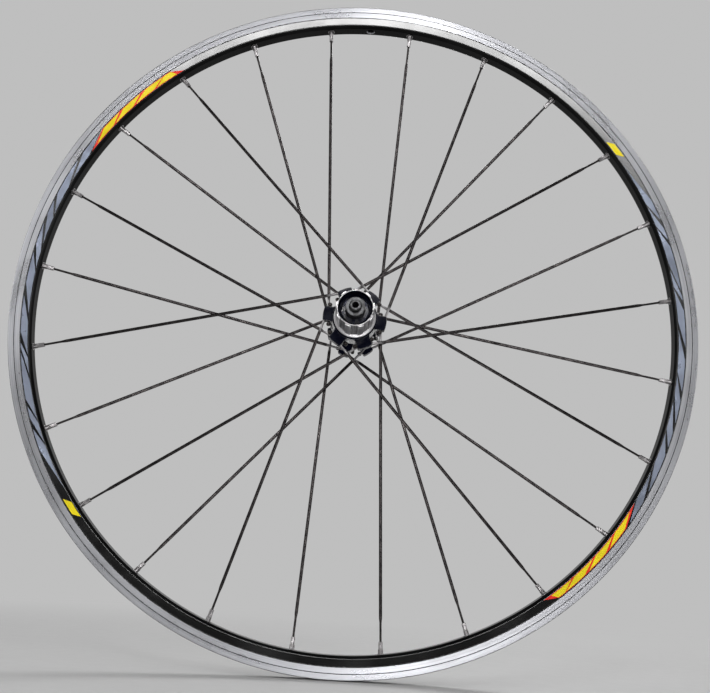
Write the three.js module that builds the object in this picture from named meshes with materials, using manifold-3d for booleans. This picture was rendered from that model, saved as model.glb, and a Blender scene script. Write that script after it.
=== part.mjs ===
// A bare bicycle rear wheel for rim brakes: a double-walled alloy clincher rim of ISO size 622, 24 bladed
// straight-pull spokes with their nipples, and a cassette hub with sealed bearings, a splined freehub
// body and a two-pawl ratchet. Millimetres.
//
// Everything is modelled as it is seen from the drive side: x forward, y up through the valve hole and
// z out of the drive side, with the origin on the axle in the rim's middle plane. The exported group is
// turned so that the axle lies along Y, with the drive side at -Y and the valve hole at +Z.

import * as THREE from 'three';
import { mergeVertices } from 'three/addons/utils/BufferGeometryUtils.js';
import Module from 'manifold-3d';

const wasm = await Module();
wasm.setup();

// ---- driving dimensions ----

const CLEARANCE = 0.3;

// Rim: radii from the axle, widths across the wheel
const RIM_OUTER_R = 316.5;
const BEAD_SEAT_R = 311;
const WELL_R = 308.6;
const TRACK_INNER_R = 305.5;
const BED_R = 296;
const RIM_WIDTH = 19;
const BED_WIDTH = 16.2;
const TYRE_GAP = 13;
const RIM_WALL = 1.6;
const RIM_SEGMENTS = 48;
const VALVE_HOLE_R = 3.3;
const ACCESS_HOLE_R = 4;
const NIPPLE_HOLE_R = 2.6;
const BED_DRILL = [-4, 4];
const ACCESS_DRILL = [8, 18];

// Spokes: half of them go to each flange, two to a lug, one each way
const LUGS = 6;
const SPOKE_SWEEP = 75;
const NECK_R = 1.1;
const THREAD_R = 1;
const BLADE_WIDTH = 2.9;
const BLADE_THICKNESS = 1.1;
const HEAD_R = 2.1;
const HEAD_LENGTH = 3;
const HEAD_CHAMFER = 0.5;
const HEAD_GAP = 0.75;
const HUB_NECK = 17;
const RIM_NECK = 26;
const BLADE_FORGING = 5;
const SPOKE_SIDES = 6;

// Nipples: lengths along the spoke, from the rim's spoke bed
const NIPPLE_R = 2.2;
const NIPPLE_HEAD_R = 3.05;
const NIPPLE_INSIDE = 5.6;
const NIPPLE_OUTSIDE = 10.6;
const NIPPLE_HEAD_LENGTH = 3.3;
const THREAD_ENTRY = 2;
const NIPPLE_BORE_R = THREAD_R + CLEARANCE + 0.05;
const TAIL_CHAMFER = 0.4;

// Hub: positions along the axle, from the rim's middle plane
const OVER_LOCKNUTS = 130;
const AXLE_STUB = 5.2;
const AXLE_END_R = 4.95;
const AXLE_CHAMFER = 0.8;
const AXLE_MIDDLE_R = 6;
const SKEWER_BORE_R = 2.7;
const AXLE_SHOULDERS = [-39.6, 50.4];
const BEARING_BORE_R = 6.4;
const HUB_BEARINGS = {
  bearing_nds: { radius: 12, start: -39.2, end: -31.3 },
  bearing_ds: { radius: 14, start: 3.1, end: 10.9 },
};
const FREEHUB_BEARING_R = 12;
const FREEHUB_BEARING = [44.5, 50.3];
const CAP_R = 8.6;
const CAP_EDGE = 0.4;
const CAP_FLATS = 13;
const CAP_COLLAR = 7;
const SKIRT_R = 11.7;
const SKIRT_SPAN = [-44, -41.2];
const SKIRT_SHOULDER = [9.8, -46];
const SLEEVE_START = -48.5;
const SPACER_R = 7.7;
const SPACER_END = -40.2;
const SHELL_ENDS = [-43, 23.2];
const SHELL_BORE_R = 11;
const FAR_BARREL_R = 14.1;
const WAIST_R = 13.6;
const WAIST_SPAN = [-24, -1.5];
const DRIVE_BARREL_R = 20.7;
const DRIVE_BARREL_START = 6;
const DRIVE_BARREL_CHAMFER = 0.8;
const HUB_SEGMENTS = 32;
const SMALL_SEGMENTS = 24;

// Each flange: its plane, its lugs, and how far each way's spokes pass from the axle
const DRIVE_FLANGE = {
  z: 18,
  thickness: 7.4,
  rootR: 20.9,
  tipR: 29.2,
  lugHalfWidth: 6.8,
  firstLug: 52.5,
  rowOffset: 1.8,
  forwardReach: 25.6,
  backwardReach: 23.7,
};
const FAR_FLANGE = {
  z: -36,
  thickness: 7,
  rootR: 14.2,
  tipR: 25.4,
  lugHalfWidth: 5.4,
  firstLug: 7.5,
  rowOffset: -1.8,
  forwardReach: 21.2,
  backwardReach: 19.4,
};
const LUG_FILLET = 1.6;
const SPOKE_HOLE_R = 1.5;
const LUG_DRILL = [-8, 15];

// Freehub: nine splines, with one narrow land that keys the sprockets
const SPLINES = 9;
const SPLINE_R = 17.4;
const SPLINE_ROOT_R = 16.2;
const LAND_ANGLE = 18;
const KEY_LAND_ANGLE = 10;
const SPLINE_SPAN = [25.5, 59.4];
const FREEHUB_MOUTH = 60.5;
const MOUTH_BORE_R = 15.1;
const COLLAR_R = 19;
const COLLAR_START = 23.6;
const CARRIER_R = 14.6;
const CARRIER_START = 12.2;
const BODY_EDGE = 0.4;
const AXLE_PASSAGE_R = 6.7;
const AXLE_PASSAGE_END = 21;
const BODY_BORE_R = 10.5;
const BODY_BORE_START = 20;
const MOUTH_FLOOR = 50.6;

// Ratchet: 24 teeth in the hub shell and two pawls in the freehub's carrier
const TEETH = 24;
const TOOTH_ROOT_R = 17;
const TOOTH_TIP_R = 15.7;
const FIRST_TOOTH = 57.4;
const TOOTH_LEAN = 1.6;
const TOOTH_FLOOR_SHARE = 0.4;
const RATCHET_FLOOR = 11.3;
const PAWL_PIVOT_R = 12.2;
const PAWL_HEEL_R = 1.9;
const PAWL_NOSE_ANGLE = 61.3;
const PAWL_NOSE_RADII = [14.5, 16.7];
const POCKET_DEPTH = 2.6;
const POCKET_REACH = 9.4;
const PAWL_SPAN = [13.8, 19.7];
const SPRING_Z = 16.75;
const SPRING_R = 13.75;
const SPRING_WIRE = 0.7;
const SPRING_OPENING = 12;
const CARRIER_GROOVE = { floorR: 13.1, halfWidth: 0.75 };
const PAWL_GROOVE = { floorR: 12.7, halfWidth: 0.85 };

// ---- small helpers ----

const radians = THREE.MathUtils.degToRad;

// A closed three.js geometry as a manifold-3d solid.
function solid(geometry) {
  const bare = geometry.index ? geometry.toNonIndexed() : geometry.clone();
  bare.deleteAttribute('normal');
  bare.deleteAttribute('uv');
  const merged = mergeVertices(bare, 1e-4);
  return new wasm.Manifold(new wasm.Mesh({
    numProp: 3,
    vertProperties: merged.attributes.position.array,
    triVerts: new Uint32Array(merged.index.array),
  }));
}

// A profile of [radius, z] pairs turned about the axle. It runs anticlockwise with the radius to the
// right, and closes on itself unless it starts and ends on the axle.
function revolve(profile, segments, turn = 0) {
  const loop = profile[0][0] === 0 ? profile : [...profile, profile[0]];
  const points = loop.map(([radius, z]) => new THREE.Vector2(radius, z));
  const geometry = new THREE.LatheGeometry(points, segments, turn);
  geometry.rotateX(Math.PI / 2);
  return solid(geometry);
}

// A ring of rectangular section between two radii and two places along the axle.
function ring(innerR, outerR, start, end, segments = SMALL_SEGMENTS) {
  return revolve([[innerR, start], [outerR, start], [outerR, end], [innerR, end]], segments);
}

function rod(radius, start, end, segments = SMALL_SEGMENTS) {
  return revolve([[0, start], [radius, start], [radius, end], [0, end]], segments);
}

function extrude(shape, start, end, curveSegments = 2) {
  const depth = end - start;
  const geometry = new THREE.ExtrudeGeometry(shape, { depth, bevelEnabled: false, curveSegments });
  geometry.translate(0, 0, start);
  return solid(geometry);
}

function polar(radius, degrees) {
  return new THREE.Vector2(radius * Math.cos(radians(degrees)), radius * Math.sin(radians(degrees)));
}

// The point at `along` out from the axle and `across` to the left of the ray at `degrees`.
function besideRay(degrees, along, across) {
  return polar(along, degrees).add(polar(across, degrees + 90));
}

function range(count) {
  return [...Array(count).keys()];
}

// Half a symmetrical rim profile, from the bed out to the well, completed on the other side.
function bothSides(half) {
  const mirrored = half.map(([radius, z]) => [radius, -z]);
  return [...mirrored, ...half.toReversed()];
}

function finish(color, roughness, metalness) {
  return new THREE.MeshStandardMaterial({ color, roughness, metalness, flatShading: true });
}

const blackAnodised = finish(0x141416, 0.35, 0.6);
const satinBlackRim = finish(0x1a1b1e, 0.45, 0.5);
const blackSpokeSteel = finish(0x2a2728, 0.4, 0.8);
const nickelledBrass = finish(0xc9cbd0, 0.25, 1);
const brightAlloy = finish(0xc4c6cb, 0.3, 1);
const bearingSteel = finish(0x9a9ca2, 0.3, 1);
const axleAlloy = finish(0xa2a3a8, 0.35, 1);
const toolSteel = finish(0x6f7074, 0.4, 1);
const springSteel = finish(0x8b8d90, 0.3, 1);

const wheel = new THREE.Group();

function addPart(name, shape, material) {
  const { vertProperties, triVerts } = shape.getMesh();
  const geometry = new THREE.BufferGeometry();
  geometry.setAttribute('position', new THREE.BufferAttribute(vertProperties, 3));
  geometry.setIndex(new THREE.BufferAttribute(triVerts, 1));
  const mesh = new THREE.Mesh(geometry, material);
  mesh.name = name;
  wheel.add(mesh);
}

// ---- spoke layout ----

// Every spoke runs straight from its lug to the rim. Forward spokes leave the lug anticlockwise as seen
// from the drive side, backward ones clockwise, in two rows that clear each other where they cross.
function spokesOf(flange, side) {
  const spokes = [];
  for (const lug of range(LUGS)) {
    for (const way of [1, -1]) {
      const lugAngle = flange.firstLug + lug * 360 / LUGS;
      const rimAngle = lugAngle + way * SPOKE_SWEEP;
      const reach = way > 0 ? flange.forwardReach : flange.backwardReach;
      const footAngle = rimAngle - way * THREE.MathUtils.radToDeg(Math.acos(reach / BED_R));
      const foot = polar(reach, footAngle);
      const hole = polar(BED_R, rimAngle);
      const start = new THREE.Vector3(foot.x, foot.y, flange.z + way * flange.rowOffset);
      const end = new THREE.Vector3(hole.x, hole.y, 0);
      const along = end.clone().sub(start).normalize();
      const across = new THREE.Vector3(0, 0, 1).cross(along).normalize();
      const basis = new THREE.Matrix4().makeBasis(across, along, across.clone().cross(along));
      const sideFace = reach * Math.sin(radians(way * (lugAngle - footAngle)));
      spokes.push({
        name: `${side}_${String(spokes.length + 1).padStart(2, '0')}`,
        seat: sideFace - flange.lugHalfWidth,
        length: end.distanceTo(start),
        frame: basis.setPosition(start),
      });
    }
  }
  return spokes;
}

const driveSpokes = spokesOf(DRIVE_FLANGE, 'ds');
const farSpokes = spokesOf(FAR_FLANGE, 'nds');
const allSpokes = [...driveSpokes, ...farSpokes];

// A lathe profile of [radius, distance] pairs set along a spoke's line. `section` may flatten it.
function alongSpoke(spoke, profile, section) {
  const loop = profile[0][0] === 0 ? profile : [...profile, profile[0]];
  const points = loop.map(([radius, distance]) => new THREE.Vector2(radius, distance));
  const geometry = new THREE.LatheGeometry(points, SPOKE_SIDES);
  if (section) section(geometry.attributes.position);
  return solid(geometry.applyMatrix4(spoke.frame));
}

function drill(spoke, radius, start, end) {
  return alongSpoke(spoke, [[0, start], [radius, start], [radius, end], [0, end]]);
}

// ---- spokes and nipples ----

// The head bears on one side of the lug. The neck passes through it, is forged into a flat blade whose
// wide face lies in the plane of the wheel, and is round again where it is threaded.
function spokeShape(spoke) {
  const headEnd = spoke.seat - HEAD_GAP;
  const headStart = headEnd - HEAD_LENGTH;
  const bladeStart = HUB_NECK + BLADE_FORGING;
  const bladeEnd = spoke.length - RIM_NECK - BLADE_FORGING;
  const profile = [
    [0, headStart],
    [HEAD_R - HEAD_CHAMFER, headStart],
    [HEAD_R, headStart + HEAD_CHAMFER],
    [HEAD_R, headEnd],
    [NECK_R, headEnd],
    [NECK_R, HUB_NECK],
    [THREAD_R, bladeStart],
    [THREAD_R, bladeEnd],
    [THREAD_R, spoke.length - RIM_NECK],
    [THREAD_R, spoke.length + THREAD_ENTRY],
    [0, spoke.length + THREAD_ENTRY],
  ];
  return alongSpoke(spoke, profile, (position) => {
    for (const i of range(position.count)) {
      const distance = position.getY(i);
      if (distance < bladeStart - 1 || distance > bladeEnd + 1) continue;
      position.setX(i, position.getX(i) / THREAD_R * BLADE_WIDTH / 2);
      position.setZ(i, position.getZ(i) / THREAD_R * BLADE_THICKNESS / 2);
    }
  });
}

function nippleShape(spoke) {
  const tail = spoke.length - NIPPLE_OUTSIDE;
  const top = spoke.length + NIPPLE_INSIDE;
  const shoulder = top - NIPPLE_HEAD_LENGTH;
  return alongSpoke(spoke, [
    [NIPPLE_BORE_R, tail],
    [NIPPLE_R - TAIL_CHAMFER, tail],
    [NIPPLE_R, tail + TAIL_CHAMFER],
    [NIPPLE_R, shoulder],
    [NIPPLE_HEAD_R, shoulder],
    [NIPPLE_HEAD_R, top - NIPPLE_HEAD_R + NIPPLE_R],
    [NIPPLE_R, top],
    [NIPPLE_BORE_R, top],
  ]);
}

for (const spoke of allSpokes) {
  addPart(`spoke_${spoke.name}`, spokeShape(spoke), blackSpokeSteel);
  addPart(`nipple_${spoke.name}`, nippleShape(spoke), nickelledBrass);
}

// ---- rim ----

const halfWidth = RIM_WIDTH / 2;
const halfGap = TYRE_GAP / 2;
const bedHalfWidth = BED_WIDTH / 2;

const rimSection = bothSides([
  [BED_R, bedHalfWidth - 2.4],
  [BED_R + 2.3, bedHalfWidth],
  [TRACK_INNER_R, halfWidth],
  [RIM_OUTER_R, halfWidth],
  [RIM_OUTER_R, halfGap],
  [RIM_OUTER_R - 2.2, halfGap],
  [RIM_OUTER_R - 2.8, halfWidth - RIM_WALL],
  [BEAD_SEAT_R, halfWidth - RIM_WALL],
  [BEAD_SEAT_R - 0.4, 5],
  [WELL_R, 3],
]);
const rimHollow = bothSides([
  [BED_R + RIM_WALL, bedHalfWidth - 3.2],
  [TRACK_INNER_R, halfWidth - RIM_WALL],
  [BEAD_SEAT_R - 2, halfWidth - RIM_WALL - 0.6],
  [BEAD_SEAT_R - 1.8, 5.5],
  [WELL_R - 1.5, 3.5],
]);

// Facets are centred on the spoke holes and the valve hole.
const rimTurn = Math.PI / RIM_SEGMENTS;

function rimShape() {
  let rim = revolve(rimSection, RIM_SEGMENTS, rimTurn);
  rim = rim.subtract(revolve(rimHollow, RIM_SEGMENTS, rimTurn));
  for (const spoke of allSpokes) {
    const fromBed = (places) => places.map((place) => spoke.length + place);
    rim = rim.subtract(drill(spoke, NIPPLE_HOLE_R, ...fromBed(BED_DRILL)));
    rim = rim.subtract(drill(spoke, ACCESS_HOLE_R, ...fromBed(ACCESS_DRILL)));
  }
  const valveHole = new THREE.CylinderGeometry(VALVE_HOLE_R, VALVE_HOLE_R, 30, 12);
  valveHole.translate(0, BED_R + 5, 0);
  return rim.subtract(solid(valveHole));
}

addPart('rim', rimShape(), satinBlackRim);

// ---- hub shell ----

// A star of square-ended lugs with rounded roots between them.
function lugStar(flange) {
  const { rootR, tipR, lugHalfWidth, firstLug } = flange;
  const rootTurn = THREE.MathUtils.radToDeg((lugHalfWidth + LUG_FILLET) / rootR);
  const tipTurn = THREE.MathUtils.radToDeg(Math.asin(lugHalfWidth / tipR));
  const pitch = 360 / LUGS;
  const outline = new THREE.Shape();
  for (const lug of range(LUGS)) {
    const angle = firstLug + lug * pitch;
    const rootStart = polar(rootR, angle - rootTurn);
    const rootEnd = polar(rootR, angle + rootTurn);
    if (lug === 0) outline.moveTo(rootStart.x, rootStart.y);
    const upCorner = besideRay(angle, rootR - 0.6, -lugHalfWidth);
    const upFoot = besideRay(angle, rootR + LUG_FILLET, -lugHalfWidth);
    outline.quadraticCurveTo(upCorner.x, upCorner.y, upFoot.x, upFoot.y);
    outline.absarc(0, 0, tipR, radians(angle - tipTurn), radians(angle + tipTurn), false);
    const downFoot = besideRay(angle, rootR + LUG_FILLET, lugHalfWidth);
    const downCorner = besideRay(angle, rootR - 0.6, lugHalfWidth);
    outline.lineTo(downFoot.x, downFoot.y);
    outline.quadraticCurveTo(downCorner.x, downCorner.y, rootEnd.x, rootEnd.y);
    outline.absarc(0, 0, rootR, radians(angle + rootTurn), radians(angle + pitch - rootTurn), false);
  }
  return extrude(outline, flange.z - flange.thickness / 2, flange.z + flange.thickness / 2);
}

// The bore with ratchet teeth: steep faces that a pawl pushes clockwise as seen from the drive side,
// and ramps that it slides over the other way.
function ratchetBore() {
  const pitch = 360 / TEETH;
  const corners = [];
  for (const tooth of range(TEETH)) {
    const face = FIRST_TOOTH + tooth * pitch;
    corners.push(polar(TOOTH_TIP_R, face));
    corners.push(polar(TOOTH_ROOT_R, face + TOOTH_LEAN));
    corners.push(polar(TOOTH_ROOT_R, face + pitch * TOOTH_FLOOR_SHARE));
  }
  return extrude(new THREE.Shape(corners), RATCHET_FLOOR, SHELL_ENDS[1] + 1);
}

function hubShellShape() {
  const [farEnd, driveEnd] = SHELL_ENDS;
  const farSeatR = HUB_BEARINGS.bearing_nds.radius + CLEARANCE;
  const farSeat = HUB_BEARINGS.bearing_nds.end + CLEARANCE;
  const driveSeatR = HUB_BEARINGS.bearing_ds.radius + CLEARANCE;
  const driveSeat = HUB_BEARINGS.bearing_ds.start - CLEARANCE;
  let shell = revolve([
    [farSeatR, farEnd],
    [FAR_BARREL_R, farEnd],
    [FAR_BARREL_R, FAR_FLANGE.z],
    [WAIST_R, WAIST_SPAN[0]],
    [WAIST_R, WAIST_SPAN[1]],
    [DRIVE_BARREL_R, DRIVE_BARREL_START],
    [DRIVE_BARREL_R, driveEnd - DRIVE_BARREL_CHAMFER],
    [DRIVE_BARREL_R - DRIVE_BARREL_CHAMFER, driveEnd],
    [driveSeatR, driveEnd],
    [driveSeatR, driveSeat],
    [SHELL_BORE_R, driveSeat],
    [SHELL_BORE_R, farSeat],
    [farSeatR, farSeat],
  ], HUB_SEGMENTS);
  shell = shell.add(lugStar(DRIVE_FLANGE)).add(lugStar(FAR_FLANGE));
  // The stars are full discs, so the middle is opened again behind each of them.
  shell = shell.subtract(rod(driveSeatR, driveSeat, driveEnd + 1, HUB_SEGMENTS));
  shell = shell.subtract(rod(farSeatR, farEnd - 1, farSeat, HUB_SEGMENTS));
  shell = shell.subtract(rod(SHELL_BORE_R, farEnd, driveEnd, HUB_SEGMENTS));
  shell = shell.subtract(ratchetBore());
  for (const spoke of allSpokes) shell = shell.subtract(drill(spoke, SPOKE_HOLE_R, ...LUG_DRILL));
  return shell;
}

addPart('hub_shell', hubShellShape(), blackAnodised);

// ---- axle, bearings and end caps ----

const locknutFace = OVER_LOCKNUTS / 2;
const axleEnd = locknutFace + AXLE_STUB;
const capBoreR = AXLE_END_R + CLEARANCE + 0.05;

addPart('axle', revolve([
  [SKEWER_BORE_R, -axleEnd],
  [AXLE_END_R - AXLE_CHAMFER, -axleEnd],
  [AXLE_END_R, -axleEnd + AXLE_CHAMFER],
  [AXLE_END_R, AXLE_SHOULDERS[0]],
  [AXLE_MIDDLE_R, AXLE_SHOULDERS[0]],
  [AXLE_MIDDLE_R, AXLE_SHOULDERS[1]],
  [AXLE_END_R, AXLE_SHOULDERS[1]],
  [AXLE_END_R, axleEnd - AXLE_CHAMFER],
  [AXLE_END_R - AXLE_CHAMFER, axleEnd],
  [SKEWER_BORE_R, axleEnd],
], SMALL_SEGMENTS), axleAlloy);

for (const [name, { radius, start, end }] of Object.entries(HUB_BEARINGS)) {
  addPart(name, ring(BEARING_BORE_R, radius, start, end, HUB_SEGMENTS), bearingSteel);
}
addPart(
  'freehub_bearing',
  ring(BEARING_BORE_R, FREEHUB_BEARING_R, FREEHUB_BEARING[0], FREEHUB_BEARING[1]),
  bearingSteel,
);

// The drive side's end cap: a round collar with a pair of wrench flats behind it.
function driveCapShape() {
  const back = FREEHUB_BEARING[1] + 2 * CLEARANCE;
  const cap = revolve([
    [capBoreR, back],
    [CAP_R, back],
    [CAP_R, locknutFace - CAP_EDGE],
    [CAP_R - CAP_EDGE, locknutFace],
    [capBoreR, locknutFace],
  ], SMALL_SEGMENTS);
  const flatHeight = locknutFace - CAP_COLLAR - back;
  const cut = new THREE.BoxGeometry(CAP_R * 3, CAP_R, flatHeight * 2);
  const upper = solid(cut.clone().translate(0, (CAP_FLATS + CAP_R) / 2, back));
  const lower = solid(cut.clone().translate(0, -(CAP_FLATS + CAP_R) / 2, back));
  return cap.subtract(upper).subtract(lower);
}

addPart('end_cap_ds', driveCapShape(), axleAlloy);

// The far side's end cap: a skirt that covers the bearing, and a sleeve out to the dropout.
addPart('end_cap_nds', revolve([
  [capBoreR, -locknutFace],
  [CAP_R - CAP_EDGE, -locknutFace],
  [CAP_R, -locknutFace + CAP_EDGE],
  [CAP_R, SLEEVE_START],
  SKIRT_SHOULDER,
  [SKIRT_R, SKIRT_SPAN[0]],
  [SKIRT_R, SKIRT_SPAN[1]],
  [SPACER_R, SKIRT_SPAN[1]],
  [SPACER_R, SPACER_END],
  [capBoreR, SPACER_END],
], SMALL_SEGMENTS), axleAlloy);

// ---- freehub body ----

function splineOutline() {
  const pitch = 360 / SPLINES;
  const outline = new THREE.Shape();
  for (const spline of range(SPLINES)) {
    const middle = 90 + spline * pitch;
    const half = (spline === 0 ? KEY_LAND_ANGLE : LAND_ANGLE) / 2;
    const nextHalf = (spline === SPLINES - 1 ? KEY_LAND_ANGLE : LAND_ANGLE) / 2;
    outline.absarc(0, 0, SPLINE_R, radians(middle - half), radians(middle + half), false);
    const grooveEnd = radians(middle + pitch - nextHalf);
    outline.absarc(0, 0, SPLINE_ROOT_R, radians(middle + half), grooveEnd, false);
  }
  return outline;
}

// The pocket that a pawl lies in, drawn for a pawl at the top.
function pawlPocket() {
  const heelWall = -PAWL_HEEL_R - CLEARANCE - 0.1;
  const floor = PAWL_PIVOT_R - POCKET_DEPTH;
  const pocket = new THREE.Shape([
    new THREE.Vector2(heelWall, floor),
    new THREE.Vector2(POCKET_REACH, floor),
    new THREE.Vector2(POCKET_REACH, TOOTH_ROOT_R),
    new THREE.Vector2(heelWall, TOOTH_ROOT_R),
  ]);
  return extrude(pocket, PAWL_SPAN[0] - CLEARANCE, PAWL_SPAN[1] + CLEARANCE);
}

function springGroove({ floorR, halfWidth }) {
  return ring(floorR, TOOTH_ROOT_R + 1, SPRING_Z - halfWidth, SPRING_Z + halfWidth, HUB_SEGMENTS);
}

function freehubShape() {
  const seatR = FREEHUB_BEARING_R + CLEARANCE;
  let body = extrude(splineOutline(), SPLINE_SPAN[0] - 0.5, SPLINE_SPAN[1], 1);
  body = body.add(revolve([
    [0, CARRIER_START],
    [CARRIER_R - BODY_EDGE, CARRIER_START],
    [CARRIER_R, CARRIER_START + BODY_EDGE],
    [CARRIER_R, COLLAR_START],
    [COLLAR_R - BODY_EDGE, COLLAR_START],
    [COLLAR_R, COLLAR_START + BODY_EDGE],
    [COLLAR_R, SPLINE_SPAN[0]],
    [SPLINE_ROOT_R, SPLINE_SPAN[0]],
    [SPLINE_ROOT_R, FREEHUB_MOUTH - BODY_EDGE],
    [SPLINE_ROOT_R - BODY_EDGE, FREEHUB_MOUTH],
    [0, FREEHUB_MOUTH],
  ], HUB_SEGMENTS));
  const bores = [
    [AXLE_PASSAGE_R, CARRIER_START - 1, AXLE_PASSAGE_END],
    [BODY_BORE_R, BODY_BORE_START, FREEHUB_BEARING[0]],
    [seatR, FREEHUB_BEARING[0] - CLEARANCE, MOUTH_FLOOR + 0.4],
    [MOUTH_BORE_R, MOUTH_FLOOR, FREEHUB_MOUTH + 1],
  ];
  for (const [radius, start, end] of bores) {
    body = body.subtract(rod(radius, start, end, HUB_SEGMENTS));
  }
  body = body.subtract(pawlPocket()).subtract(pawlPocket().rotate([0, 0, 180]));
  return body.subtract(springGroove(CARRIER_GROOVE));
}

addPart('freehub_body', freehubShape(), brightAlloy);

// ---- pawls and their spring ----

// A pawl at the top, raised into the teeth. It turns on its round heel, and its nose points forward.
// A slot along its back lets the wire spring pass.
function pawlShape() {
  const [noseFoot, nose] = PAWL_NOSE_RADII.map((radius) => polar(radius, PAWL_NOSE_ANGLE));
  const outline = new THREE.Shape();
  outline.absarc(0, PAWL_PIVOT_R, PAWL_HEEL_R, radians(90), radians(285), false);
  outline.lineTo(noseFoot.x, noseFoot.y);
  outline.lineTo(nose.x, nose.y);
  return extrude(outline, ...PAWL_SPAN).subtract(springGroove(PAWL_GROOVE));
}

addPart('pawl_a', pawlShape(), toolSteel);
addPart('pawl_b', pawlShape().rotate([0, 0, 180]), toolSteel);

// One round of wire, open at the back, holds both pawls up.
function pawlSpringShape() {
  const innerR = SPRING_R - SPRING_WIRE / 2;
  const outerR = SPRING_R + SPRING_WIRE / 2;
  const start = radians(180 + SPRING_OPENING / 2);
  const end = radians(540 - SPRING_OPENING / 2);
  const outline = new THREE.Shape();
  outline.absarc(0, 0, outerR, start, end, false);
  outline.absarc(0, 0, innerR, end, start, true);
  return extrude(outline, SPRING_Z - SPRING_WIRE / 2, SPRING_Z + SPRING_WIRE / 2, 15);
}

addPart('pawl_spring', pawlSpringShape(), springSteel);

// ---- the row's frame: the axle along Y, the drive side at -Y ----

wheel.rotation.x = Math.PI / 2;

export default wheel;
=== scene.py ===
"""Blender looks for a bare bicycle rear wheel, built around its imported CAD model.

Shapes are worked out in millimetres, as the wheel is seen from its drive side: x forward, y up through
the valve hole and z out of the drive side, from the axle's middle. row() turns such a point into the row
frame, in metres, where the axle lies along Y with the drive side at -Y and the valve hole at +Z.
"""

import math

import bmesh
import bpy
from mathutils import Matrix, Vector


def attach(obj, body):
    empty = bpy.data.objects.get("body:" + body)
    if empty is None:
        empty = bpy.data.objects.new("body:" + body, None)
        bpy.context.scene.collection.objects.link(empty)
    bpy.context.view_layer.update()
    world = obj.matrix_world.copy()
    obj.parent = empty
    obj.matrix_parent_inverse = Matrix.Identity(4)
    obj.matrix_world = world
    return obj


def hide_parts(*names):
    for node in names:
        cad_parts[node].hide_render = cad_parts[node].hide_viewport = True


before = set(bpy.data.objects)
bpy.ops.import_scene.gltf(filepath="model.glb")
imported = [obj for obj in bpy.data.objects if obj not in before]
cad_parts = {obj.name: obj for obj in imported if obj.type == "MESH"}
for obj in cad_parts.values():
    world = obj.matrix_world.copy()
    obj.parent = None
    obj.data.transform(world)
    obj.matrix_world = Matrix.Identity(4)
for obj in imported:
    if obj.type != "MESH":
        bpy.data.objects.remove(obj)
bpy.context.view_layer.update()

# ---- driving dimensions, in millimetres, as in the CAD model ----

MM = 0.001
RIM_OUTER_R = 316.5
BEAD_SEAT_R = 311
WELL_R = 308.6
TRACK_INNER_R = 305.5
BED_R = 296
HALF_WIDTH = 9.5
HALF_GAP = 6.5
BED_HALF_WIDTH = 8.1
RIM_WALL = 1.6
RIM_SEGMENTS = 360
VALVE_HOLE_R = 3.3
ACCESS_HOLE_R = 4
EYELET_HOLE_R = 2.9

LUGS = 6
SPOKE_SWEEP = 75
NECK_R = 1.1
THREAD_R = 1
HEAD_R = 2.1
HEAD_LENGTH = 3
HEAD_GAP = 0.75
HUB_NECK = 17
RIM_NECK = 26
BLADE_FORGING = 6
BLADE_HALF = (1.45, 0.55)
THREAD_ENTRY = 2

NIPPLE_R = 2.2
NIPPLE_FLAT = 1.75
NIPPLE_HEAD_R = 3.05
NIPPLE_INSIDE = 5.6
NIPPLE_OUTSIDE = 10.6
NIPPLE_HEAD_LENGTH = 3.3

LOCKNUT_FACE = 65
AXLE_END = 70.2
AXLE_END_R = 4.95
AXLE_MIDDLE_R = 6
SKEWER_BORE_R = 2.7
AXLE_SHOULDERS = (-39.6, 50.4)
BEARING_BORE_R = 6.4
BEARINGS = {
    "bearing_nds": {"radius": 12, "start": -39.2, "end": -31.3, "body": "wheel"},
    "bearing_ds": {"radius": 14, "start": 3.1, "end": 10.9, "body": "wheel"},
    "freehub_bearing": {"radius": 12, "start": 44.5, "end": 50.3, "body": "freehub"},
}
SEAT_GAP = 0.3
SHELL_ENDS = (-43, 23.2)
SHELL_BORE_R = 11
FAR_BARREL_R = 14.1
WAIST_R = 13.6
WAIST_SPAN = (-24, -1.5)
DRIVE_BARREL_R = 20.7
DRIVE_BARREL_START = 6
CAP_R = 8.6
CAP_FLAT = 6.5
CAP_BORE_R = 5.3
CAP_BACK = 50.9
CAP_COLLAR = 7
FLAT_TOOL_REACH = 10
CAP_BORE_CHAMFER = 0.4
SKIRT_R = 11.7
SKIRT_SPAN = (-48.5, -40.2)
SKIRT_CHEEK = (9.8, -46)
SKIRT_RIM = (-44, -41.2)
SPACER_R = 7.7

DRIVE_FLANGE = {
    "z": 18, "thickness": 7.4, "root_r": 20.9, "tip_r": 29.2, "lug_half": 6.8, "first_lug": 52.5,
    "row_offset": 1.8, "forward_reach": 25.6, "backward_reach": 23.7,
}
FAR_FLANGE = {
    "z": -36, "thickness": 7, "root_r": 14.2, "tip_r": 25.4, "lug_half": 5.4, "first_lug": 7.5,
    "row_offset": -1.8, "forward_reach": 21.2, "backward_reach": 19.4,
}
LUG_FILLET = 1.6
LUG_CORNER = 1.2
SPOKE_HOLE_R = 1.5
SPOKE_DRILL = (-8, 15)

SPLINES = 9
SPLINE_R = 17.4
SPLINE_ROOT_R = 16.2
LAND_ANGLE = 18
KEY_LAND_ANGLE = 10
SPLINE_SPAN = (25.2, 59.4)
FREEHUB_MOUTH = 60.5
MOUTH_BORE_R = 15.1
MOUTH_FLOOR = 50.6
THREAD_PITCH = 1
THREAD_DEPTH = 0.35
COLLAR_R = 19
COLLAR_START = 23.6
CARRIER_R = 14.6
CARRIER_START = 12.2
BODY_BORE_R = 10.5
BODY_BORE_SPAN = (20.5, 44.2)
AXLE_PASSAGE_R = 6.7
BEARING_SEAT_R = 12.3

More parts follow.
